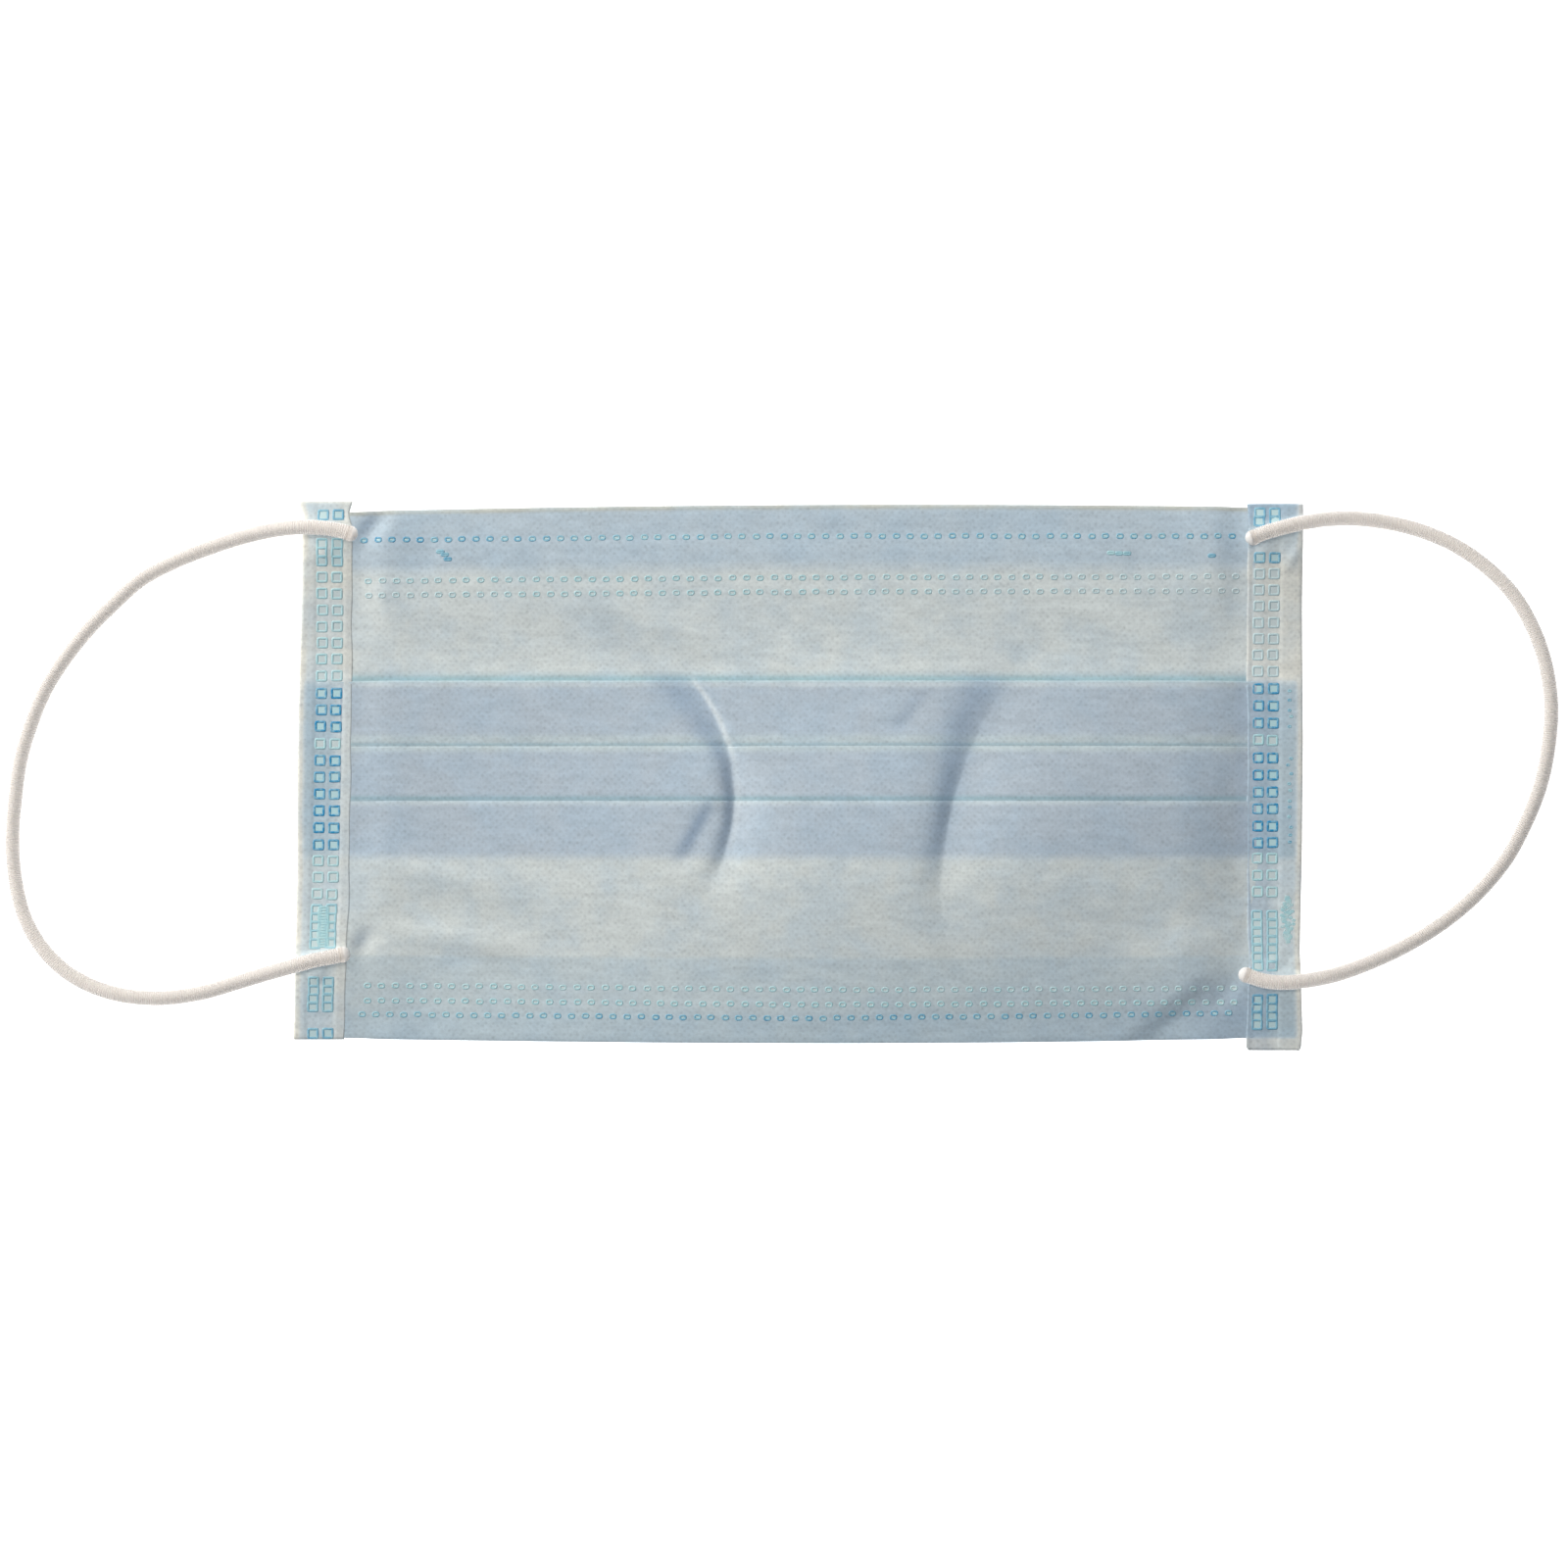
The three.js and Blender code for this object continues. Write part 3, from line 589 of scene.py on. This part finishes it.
def spunbond_material(name, colours):
    """Spunbond polypropylene: fine melted fibres laid as a web and bonded at a lattice of points.

    It is matt and mottled. The colours are those of the web with what lies beneath it, with some painted
    shade and highlight, by the value of the mesh attribute "shade_at", which runs from 0 to 1. Two more
    attributes darken the web with painted shade and pale it along a line.
    """
    material, tree, shader = new_material(name)
    place = add_node(tree, "ShaderNodeTexCoord").outputs["Object"]
    web = add_node(
        tree, "ShaderNodeTexNoise", {"Vector": place, "Scale": 1500.0, "Detail": 4.0, "Roughness": 0.6}
    )
    stretched = add_node(tree, "ShaderNodeMapping", {"Vector": place, "Scale": (0.25, 1.0, 1.0)})
    streaks = add_node(
        tree, "ShaderNodeTexNoise", {"Vector": stretched, "Scale": 800.0, "Detail": 3.0, "Roughness": 0.6}
    )
    clouds = add_node(
        tree, "ShaderNodeTexNoise", {"Vector": place, "Scale": 125.0, "Detail": 3.0, "Roughness": 0.6}
    )
    # the bonding points: a lattice of small pits, 0.9 mm apart and turned by 45 degrees
    turned = add_node(
        tree, "ShaderNodeMapping",
        {"Vector": place, "Rotation": (0.0, 0.0, math.pi / 4), "Scale": (1100.0, 1100.0, 0.0)},
    )
    pits = add_node(tree, "ShaderNodeTexVoronoi", {"Vector": turned, "Scale": 1.0, "Randomness": 0.35})
    pit = add_node(
        tree, "ShaderNodeMapRange",
        {"Value": pits, "From Min": 0.12, "From Max": 0.42, "To Min": 0.0, "To Max": 1.0},
    )
    at = add_node(tree, "ShaderNodeAttribute", attribute_name="shade_at").outputs["Fac"]
    ramp = add_node(tree, "ShaderNodeValToRGB", {"Fac": at})
    stops = ramp.color_ramp.elements
    stops[0].position, stops[0].color = colours[0][0], linear(colours[0][1])
    stops[1].position, stops[1].color = colours[-1][0], linear(colours[-1][1])
    for position, colour in colours[1:-1]:
        stops.new(position).color = linear(colour)
    patchy = add_node(
        tree, "ShaderNodeMapRange",
        {"Value": clouds, "From Min": 0.40, "From Max": 0.66, "To Min": 0.0, "To Max": 0.26},
    )
    base = add_node(tree, "ShaderNodeMix", {0: patchy, 6: ramp, 7: linear("#A3BED2")}, data_type="RGBA")
    # painted shade: where the next attribute is high, the web is mixed towards a shaded blue
    pressed = add_node(tree, "ShaderNodeAttribute", attribute_name="pressed").outputs["Fac"]
    bluer = add_node(
        tree, "ShaderNodeMix", {0: pressed, 6: base.outputs[2], 7: linear("#8099B4")}, data_type="RGBA"
    )
    # the paler line beside the left crease, mixed towards near white
    pinched = add_node(tree, "ShaderNodeAttribute", attribute_name="pinched").outputs["Fac"]
    paler = add_node(
        tree, "ShaderNodeMix", {0: pinched, 6: bluer.outputs[2], 7: linear("#E8ECEA")}, data_type="RGBA"
    )
    mottle = add_node(tree, "ShaderNodeMath", {0: web, 1: streaks}, operation="ADD")
    grain = add_node(tree, "ShaderNodeMath", {0: pit, 1: 0.30, 2: mottle}, operation="MULTIPLY_ADD")
    shade = add_node(
        tree, "ShaderNodeMapRange",
        {"Value": grain, "From Min": 0.7, "From Max": 1.6, "To Min": 0.82, "To Max": 1.16},
    )
    value = add_node(tree, "ShaderNodeHueSaturation", {"Color": paler.outputs[2], "Value": shade})
    bump = add_node(tree, "ShaderNodeBump", {"Height": grain, "Strength": 0.25, "Distance": 0.10 * MM})
    dress(tree, shader, value.outputs["Color"], bump, {
        "Roughness": 0.78, "Sheen Weight": 0.15, "Sheen Roughness": 0.6, "Specular IOR Level": 0.35,
    })
    return material


# The inner ply's colour down the laid panel, by y in mm: one layer over the open fields, more layers and so
# more blue at the hems and pleats, a thin teal line of painted shade just above each pleat's edge, where it
# lies on the cloth, a paler lip of painted highlight just below that edge, and a greyer band of painted
# shade on the fold of the nose hem, which faces the light.
upper, lower, hem, band, lip_highlight, strip, chin, line = (
    "#D6DBD8", "#CFD4D1", "#BBC8D0", "#B4BFC8", "#C2CBCF", "#BFCACC", "#C2CCCE", "#A2BEC3",
)
panel_colours = (
    (-42.6, "#BBC9CF"), (-40.2, chin), (-32.0, chin), (-31.2, lower), (-15.0, lower),
    (-13.3, band), (-5.4, band), (-4.8, lip_highlight), (-4.4, "#B9C8CE"), (-4.2, "#9AB6BE"), (-3.85, "#9AB6BE"),
    (-3.3, band), (3.7, band), (4.6, strip), (5.0, strip), (5.25, "#A9BFC5"), (5.55, "#A9BFC5"),
    (5.9, strip), (6.5, strip), (7.6, band), (15.1, band), (15.6, lip_highlight), (16.2, lip_highlight), (16.5, line),
    (17.0, line),
    (17.6, "#C3CFD0"), (18.5, upper), (35.0, upper), (37.6, hem), (46.05, hem),
    # painted shade on the nose hem's fold, which faces the light
    (46.5, "#A9ABA4"),
)
inner_ply = spunbond_material(
    "white_spunbond_over_blue", [((y + 50) / 100, colour) for y, colour in panel_colours]
)
outer_ply = spunbond_material("light_blue_spunbond", [(0.0, "#86B8D4"), (1.0, "#86B8D4")])

panel_points, laid_y, panel_thickness = panel_grid()
panel_shade, pale_lines = crease_marks(panel_points)
panel = walled_sheet(
    "pleated_panel", panel_points, panel_thickness,
    {"shade_at": laid_y / 0.1 + 0.5, "pressed": panel_shade, "pinched": pale_lines}, [inner_ply, outer_ply],
)
stand_for(panel, "mask_panel")
path_length = float(np.linalg.norm(np.diff(panel_path(), axis=0), axis=1).sum())

# ------------------------------------------------------------------------------------------------
# Nose wire: a flat strip of polyethylene over soft steel, lying loose in the pocket of the nose hem
# between two rows of welds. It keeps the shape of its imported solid.
# ------------------------------------------------------------------------------------------------
def polyethylene_material():
    """Extruded polyethylene: white and waxy, with faint draw lines along the strip."""
    material, tree, shader = new_material("extruded_white_polyethylene")
    place = add_node(tree, "ShaderNodeTexCoord").outputs["Object"]
    drawn = add_node(tree, "ShaderNodeMapping", {"Vector": place, "Scale": (0.02, 1.0, 1.0)})
    lines = add_node(tree, "ShaderNodeTexNoise", {"Vector": drawn, "Scale": 6000.0, "Detail": 2.0})
    colour = add_node(
        tree, "ShaderNodeMix", {0: lines, 6: linear("#E4E7E6"), 7: linear("#F2F3F1")}, data_type="RGBA"
    )
    bump = add_node(tree, "ShaderNodeBump", {"Height": lines, "Strength": 0.2, "Distance": 0.05 * MM})
    dress(tree, shader, colour.outputs[2], bump, {"Roughness": 0.42, "IOR": 1.51})
    return material


wire_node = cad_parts["nose_wire"]
wire_node.data.materials.clear()
wire_node.data.materials.append(polyethylene_material())

# ------------------------------------------------------------------------------------------------
# Side bindings: strips of white spunbond folded over the side edges and welded through all layers.
# They are cut a little askew: the left one flares over the nose edge, the right one hangs below the chin.
# ------------------------------------------------------------------------------------------------
left_binding_rows = table_of(
    "y fold edge column",
    (-45.9, -88, -79.1, -84.6), (-40, -87.8, -78.9, -84.5), (-19, -87.4, -78.2, -83.7),
    (-5, -87.4, -78, -83.45), (11, -87.2, -77.9, -83.15), (30, -86.6, -77.6, -82.9),
    (43, -86.3, -77.6, -82.7), (45.5, -86.3, -78.2, -82.6), (47.8, -87, -77.5, -82.6),
)
right_binding_rows = table_of(
    "y fold edge column",
    (-47.8, 87.1, 78.4, 82.3), (-47.3, 87.45, 78, 82.3), (-44.5, 87.7, 77.9, 82.3),
    (-30.6, 87.2, 78.1, 82.3), (-14.2, 87.6, 78, 82.4), (6, 87.8, 78, 82.5), (30.4, 87.6, 78, 82.6),
    (47.3, 87.7, 77.9, 82.6),
)
inner_column = 2.6              # the other column of weld squares lies this far in from the first, in mm
ridge_top = 3.60                # the tape rises to here under a crossing loop, in mm
ridge_half = 1.15               # and this far to either side of the loop's middle line
weld_sink = 0.12
# Height in mm of a binding's upper face over the table, which follows the stack of layers inside it, and of
# its cut edge, where that meets the panel.
binding_heights = table_of(
    "y z edge",
    (-47.8, 0.86, 0.66), (-32, 0.86, 0.67), (-28, 0.99, 0.81), (15.9, 0.99, 0.81), (18, 0.82, 0.54),
    (22, 0.88, 0.62), (25, 1.02, 0.75), (28, 1.18, 0.93), (30, 1.28, 1.03), (33, 1.36, 1.14),
    (36, 1.38, 1.17), (47.8, 1.38, 1.17),
)
# The ends of the ear loops run inside the bindings before they come out: small lumps, in mm and degrees.
lumps = table_of(
    "x y turn long wide height",
    (-82.6, 38.8, -35, 1.7, 1.2, 0.45), (-84, -34.6, 40, 1.6, 1.1, 0.32),
    (81, 39.2, 25, 1.6, 1.1, 0.26), (85.9, 38, 62, 2.2, 0.9, 0.34), (82.4, -32.6, 30, 1.4, 0.9, 0.35),
    (86.1, -33, 50, 1.6, 0.9, 0.35),
)
# How much blue shows through a binding: most over the pleats, little over the open fields.
binding_depths = table_of(
    "y left right",
    (-44, 0.5, 0.95), (-32, 0.5, 0.6), (-30, 0.55, 0.5), (-22, 0.6, 0.48), (-15, 0.45, 0.35),
    (-13.6, 0.85, 1.1), (-3, 0.95, 0.9), (15.6, 0.95, 0.8), (16.8, 0.38, 0.03), (23, 0.2, 0.03),
    (36, 0.05, 0.03), (40, 0.3, 0.35), (46, 0.6, 1),
)


def cord_ridge(x_mm, y_mm, side):
    """How much of a binding's rise to the underside of a crossing loop is reached at (x, y)."""
    route = np.array(left_loop_route if side < 0 else right_loop_route)
    ridge = 0.0
    for end in (route[:5], route[-5:]):
        end = end[np.argsort(end[:, 0])]
        middle = np.interp(x_mm, end[:, 0], end[:, 1])
        ridge = np.maximum(ridge, np.exp(-((np.abs(y_mm - middle) / ridge_half) ** 4)))
    return ridge


def binding_grid(rows, side):
    """Middle surface of a folded tape: stations along Y by points round its C-shaped section."""
    ys = np.arange(rows[0]["y"], rows[-1]["y"] + 0.01, 0.5)
    fold = column_of(rows, "fold", ys)
    edge = column_of(rows, "edge", ys)
    top = column_of(binding_heights, "z", ys)
    shake = random.Random(7 + side)
    waver = 0.06                # the cut edge is not quite straight
    wobble = sum(waver * np.sin(ys / span + shake.uniform(0, 6.3)) for span in (1.7, 3.1, 5.9))
    half = cloth / MM / 2
    grid = []
    for k, y in enumerate(ys):
        section = []
        outside = side * fold[k] - half
        inside = side * edge[k] + wobble[k]
        low, high = half, top[k] - half
        turn = min(1.0, (high - low) / 2)
        middle = (low + high) / 2
        for t in np.linspace(0, 1, 8)[:-1]:
            section.append((inside + (outside - turn - inside) * t, low))
        for angle in np.linspace(0, math.pi, 9)[:-1]:
            across = outside - turn + turn * math.sin(angle)
            section.append((across, middle - (high - low) / 2 * math.cos(angle)))
        for t in np.linspace(0, 1, 30):
            section.append((outside - turn + (inside - outside + turn) * t, high))
        grid.append([(side * x, y, z) for x, z in section])
    points = np.array(grid)
    x, y, z = points[:, :, 0], points[:, :, 1], points[:, :, 2]
    # the upper leg sinks at the weld columns, meets the panel at its cut edge, and rises under the loops
    share = np.clip((z - half) / (top[:, None] - 2 * half), 0, 1)
    column = column_of(rows, "column", y)
    sink = sum(weld_sink * ease(1.5, 1.0, np.abs(x - c)) for c in (column, column - side * inner_column))
    from_edge = side * (x - edge[:, None])
    meets = column_of(binding_heights, "edge", ys) - (top - half)
    droop = -meets[:, None] * ease(2.5, 0.0, from_edge)
    ridge = cord_ridge(x, y, side)
    corner = corner_rise(x, y)
    rise = (ridge_top - top[:, None] - corner) * ridge
    for lump in lumps:
        rise = rise + lump["height"] * mound(x, y, lump)
    points[:, :, 2] = z + corner + share * (rise - (sink + droop) * (1 - ridge))
    from_fold = side * (fold[:, None] - x)
    covers = ease(0.7, 1.7, from_fold) * (ease(47.6, 46.8, y) if side < 0 else ease(-45.9, -45.2, y))
    blue = covers * column_of(binding_depths, "left" if side < 0 else "right", y)
    # the left tape is painted paler towards its inner edge, painted light where it droops to the panel; the
    # right one gets painted shade along its inner edge and at its upper corner
    if side < 0:
        blue = blue * (1 - 0.75 * ease(4.2, 1.0, from_edge))
        pressed = np.zeros_like(blue)
    else:
        pressed = ease(5.2, 3.0, from_edge) * (0.12 + 0.18 * ease(17.0, 15.5, y))
        pressed = pressed + 0.3 * ease(42.5, 45.0, y)
    thickness = cloth * (1 - 0.7 * share * ease(2.5, 0.0, from_edge))
    if side < 0:
        points, blue, thickness = points[::-1], blue[::-1], thickness[::-1]
    return points * MM, blue, pressed, thickness


tape = spunbond_material("white_spunbond_tape", [(0.0, "#DEDCD2"), (0.3, "#CFD6D6"), (1.0, "#AFC0C8")])
bindings = {}
for name, rows, side in (("left", left_binding_rows, -1), ("right", right_binding_rows, 1)):
    binding_points, blue_and_painted_light, tape_shade, tape_thickness = binding_grid(rows, side)
    binding = walled_sheet(
        f"{name}_folded_binding", binding_points, tape_thickness,
        {"shade_at": blue_and_painted_light, "pressed": tape_shade}, [tape],
    )
    stand_for(binding, f"{name}_binding")
    bindings[name] = binding

# ------------------------------------------------------------------------------------------------
# Welds: an ultrasonic wheel stamps rows of small rings through the hems, and hollow squares through
# the bindings. The fibres melt to a clear film there, so the blue of the outer ply shows through.
# ------------------------------------------------------------------------------------------------
def weld_material():
    """Fused polypropylene film: smoother than the web around it, and as blue as what lies beneath."""
    material, tree, shader = new_material("fused_polypropylene_film")
    depth = add_node(tree, "ShaderNodeAttribute", attribute_name="fused").outputs["Fac"]
    pad = add_node(tree, "ShaderNodeAttribute", attribute_name="pad").outputs["Fac"]
    place = add_node(tree, "ShaderNodeTexCoord").outputs["Object"]
    # the wheel's rims do not bite evenly
    bite = add_node(tree, "ShaderNodeTexNoise", {"Vector": place, "Scale": 1300.0, "Detail": 1.0})
    even = add_node(
        tree, "ShaderNodeMapRange",
        {"Value": bite, "From Min": 0.35, "From Max": 0.58, "To Min": 0.6, "To Max": 1.0},
    )
    bitten = add_node(tree, "ShaderNodeMath", {0: depth, 1: even}, operation="MULTIPLY")
    rim = add_node(tree, "ShaderNodeValToRGB", {"Fac": bitten})
    rim.color_ramp.elements[0].color = linear("#C8D7D8")
    rim.color_ramp.elements[1].color = linear("#1F8BBB")
    rim.color_ramp.elements.new(0.10).color = linear("#AED4D7")
    film = add_node(
        tree, "ShaderNodeMix", {0: depth, 6: linear("#CCD5D4"), 7: linear("#B6D9DC")}, data_type="RGBA"
    )
    colour = add_node(tree, "ShaderNodeMix", {0: pad, 6: rim, 7: film.outputs[2]}, data_type="RGBA")
    ripple = add_node(tree, "ShaderNodeTexNoise", {"Vector": place, "Scale": 3000.0, "Detail": 2.0})
    bump = add_node(tree, "ShaderNodeBump", {"Height": ripple, "Strength": 0.2, "Distance": 0.03 * MM})
    dress(tree, shader, colour.outputs[2], bump, {"Roughness": 0.5})
    return material


def weld_tree(material):
    """A hollow ring with a pad of film in it, stamped at each given point and dropped onto the cloth."""
    sizes = dict.fromkeys(("Length", "Width", "Corner", "Rim", "Proud"), "Float")
    tree, given = new_tree("stamped_welds", {"Cloth": "Object", **sizes})
    outline = add_node(
        tree, "GeometryNodeCurvePrimitiveQuadrilateral",
        {"Width": given.outputs["Length"], "Height": given.outputs["Width"]},
    )
    rounded = add_node(
        tree, "GeometryNodeFilletCurve",
        {"Curve": outline, "Count": 3, "Radius": given.outputs["Corner"]}, mode="POLY",
    )
    fine = add_node(tree, "GeometryNodeResampleCurve", {"Curve": rounded, "Count": 24}, mode="COUNT")
    rim_radius = add_node(tree, "ShaderNodeMath", {0: given.outputs["Rim"], 1: 0.5}, operation="MULTIPLY")
    bead = add_node(tree, "GeometryNodeCurvePrimitiveCircle", {"Resolution": 6, "Radius": rim_radius})
    ring = add_node(tree, "GeometryNodeCurveToMesh", {"Curve": fine, "Profile Curve": bead})
    flat_ring = add_node(tree, "GeometryNodeTransform", {"Geometry": ring, "Scale": (1, 1, 0.3)})
    pad = add_node(tree, "GeometryNodeFillCurve", {"Curve": fine}, mode="TRIANGLES")
    marked = add_node(
        tree, "GeometryNodeStoreNamedAttribute",
        {"Geometry": pad, "Name": "pad", "Value": 1.0}, data_type="FLOAT", domain="POINT",
    )
    stamp = add_node(tree, "GeometryNodeJoinGeometry")
    tree.links.new(flat_ring.outputs["Geometry"], stamp.inputs[0])
    tree.links.new(marked.outputs["Geometry"], stamp.inputs[0])
    stamped = add_node(
        tree, "GeometryNodeInstanceOnPoints", {"Points": given.outputs["Geometry"], "Instance": stamp}
    )
    real = add_node(tree, "GeometryNodeRealizeInstances", {"Geometry": stamped})
    # every point of a weld drops straight down onto the cloth, so that the weld follows its shape
    cloth_info = add_node(tree, "GeometryNodeObjectInfo", {"Object": given.outputs["Cloth"]})
    here = add_node(tree, "GeometryNodeInputPosition")
    above = 30 * MM
    over = add_node(tree, "ShaderNodeVectorMath", {0: here, 1: (0, 0, above)}, operation="ADD")
    hit = add_node(
        tree, "GeometryNodeRaycast",
        {"Target Geometry": cloth_info.outputs["Geometry"], "Source Position": over,
         "Ray Direction": (0, 0, -1), "Ray Length": 2 * above},
    )
    ground = add_node(tree, "ShaderNodeSeparateXYZ", {0: hit.outputs["Hit Position"]})
    rise = add_node(
        tree, "ShaderNodeMath", {0: ground.outputs["Z"], 1: given.outputs["Proud"]}, operation="ADD"
    )
    upward = add_node(tree, "ShaderNodeCombineXYZ", {"Z": rise})
    dropped = add_node(tree, "GeometryNodeSetPosition", {"Geometry": real, "Offset": upward})
    finish_tree(tree, dropped, material)
    return tree


def weld_points(name, spots):
    """A cloud of weld places, each (x_mm, y_mm, fused), with fused kept as an attribute."""
    piece = link_mesh(name, [(x * MM, y * MM, 0.0) for x, y, fused in spots])
    layer = piece.data.attributes.new("fused", "FLOAT", "POINT")
    layer.data.foreach_set("value", [min(1.0, max(0.0, fused)) for x, y, fused in spots])
    return piece


def stamp_welds(name, spots, beneath, node, slot, **sizes_mm):
    """Stamps one weld at each spot on the cloth beneath, as a piece that stands for part of a node."""
    values = {"Cloth": beneath, **{label: size * MM for label, size in sizes_mm.items()}}
    stand_for(grow(weld_points(name, spots), stamps, values), node)


stamps = weld_tree(weld_material())

# One row of ring welds for each line of the wheel: where it starts, and its y and how deeply it is fused at
# the left, in the middle and at the right.
dot_pitch, last_dot = 2.43, 76.6
dot_rows = (
    {"y": (40.9, 41.65, 41.6), "start": -75.5, "fused": (0.80, 0.42, 0.66)},
    {"y": (33.8, 34.45, 34.6), "start": -74.8, "fused": (0.06, 0.11, 0.02)},
    {"y": (31.3, 31.95, 32.1), "start": -74.8, "fused": (0.03, 0.10, 0.0)},
    {"y": (-36.5, -37.1, -37.0), "start": -75.0, "fused": (0.10, 0.10, 0.06)},
    {"y": (-39.1, -39.7, -39.4), "start": -75.0, "fused": (0.14, 0.14, 0.10)},
    {"y": (-41.5, -42.1, -41.3), "start": -76.0, "fused": (0.30, 0.62, 0.60)},
)
# Marks where the ends of the nose wire are pinned.
wire_marks = [
    (-62.3, 38.9, 0.5), (-61.5, 38.4, 0.5), (-61.0, 37.6, 0.7), (54.2, 38.7, 0.1), (55.6, 38.6, 0.3),
    (57.0, 38.6, 0.3), (71.7, 38.2, 0.6),
]

chance = random.Random(41)
dot_spots = []
for row in dot_rows:
    x = row["start"]
    while x < last_dot:
        y = np.interp(x, (-76, 0, 76), row["y"])
        fused = np.interp(x, (-76, -30, 76), row["fused"]) * chance.uniform(0.8, 1.15)
        dot_spots.append((x + chance.uniform(-0.09, 0.09), y + chance.uniform(-0.07, 0.07), fused))
        x += dot_pitch
stamp_welds(
    "panel_ring_welds", dot_spots, panel, "mask_panel", "spunbond_panel",
    Length=1.00, Width=0.68, Corner=0.30, Rim=0.34, Proud=0.02,
)
stamp_welds(
    "wire_pinch_marks", wire_marks, panel, "mask_panel", "spunbond_panel",
    Length=1.1, Width=0.35, Corner=0.16, Rim=0.42, Proud=0.01,
)

# The right binding was struck a third time, only lightly, near its fold, where it ends in a fused smear.
glancing_spots = []
for y in list(np.arange(-11.7, 3.4, 1.48)) + list(np.arange(8.6, 15.4, 1.48)):
    x = 85.4 + chance.uniform(-0.3, 0.3)
    glancing_spots.append((x, y + chance.uniform(-0.3, 0.3), chance.uniform(0.2, 0.7)))
for y in np.arange(-29.0, -21.0, 0.11):
    reach = 1.1 * math.sin(math.pi * (y + 29.3) / 8.6)
    glancing_spots.append((85.0 + chance.uniform(-reach, reach), y, chance.uniform(0.02, 0.22)))
stamp_welds(
    "right_glancing_welds", glancing_spots, bindings["right"], "right_binding", "spunbond_binding",
    Length=0.45, Width=0.30, Corner=0.12, Rim=0.25, Proud=0.01,
)

# Rows of squares down each binding, by height: where a run starts and stops, its pitch and how deeply it
# is fused. They are deepest through the pleats, faint in the open fields, and struck twice at the ends.
square_runs = {
    "left": table_of(
        "from to pitch fused",
        (-44.8, -44.8, 2.9, 0.55), (-40.2, -35.8, 1.45, 0.42), (-29.1, -23.3, 1.45, 0.28),
        (-20.6, -14.8, 2.9, 0.1), (-12, 2.7, 2.93, 0.95), (5.6, 5.6, 2.9, 0.12),
        (8.55, 14.4, 2.9, 0.95), (17.4, 34.6, 2.85, 0.1), (37.3, 40.2, 1.45, 0.25),
        (45.3, 45.3, 2.9, 0.6),
    ),
    "right": table_of(
        "from to pitch fused",
        (-43.3, -38.2, 1.45, 0.65), (-33, -24.5, 1.45, 0.3), (-20.2, -14.4, 2.9, 0.12),
        (-11.7, 3.3, 2.95, 0.95), (6.2, 6.2, 2.9, 0.15), (9.2, 15.2, 2.95, 0.9),
        (18.2, 35.2, 2.82, 0.03), (37.9, 38.1, 2.9, 0.6), (44.2, 45.7, 1.45, 0.7),
    ),
}
for name, rows, side in (("left", left_binding_rows, -1), ("right", right_binding_rows, 1)):
    square_spots = []
    for run in square_runs[name]:
        for y in np.arange(run["from"], run["to"] + 0.5, run["pitch"]):
            for inward in (0.0, inner_column):
                x = float(column_of(rows, "column", y)) - side * inward
                fused = run["fused"] * chance.uniform(0.85, 1.15)
                x = x + chance.uniform(-0.08, 0.08)
                square_spots.append((x, y + chance.uniform(-0.08, 0.08), fused))
    if side < 0:
        # the wheel slipped here, and filled the gap between the columns
        for y in np.arange(-28.9, -23.2, 0.48):
            square_spots.append((-82.7 + chance.uniform(-0.15, 0.15), y, 0.12))
    stamp_welds(
        f"{name}_square_welds", square_spots, bindings[name], f"{name}_binding", "spunbond_binding",
        Length=1.60, Width=1.54, Corner=0.02, Rim=0.42, Proud=0.02,
    )
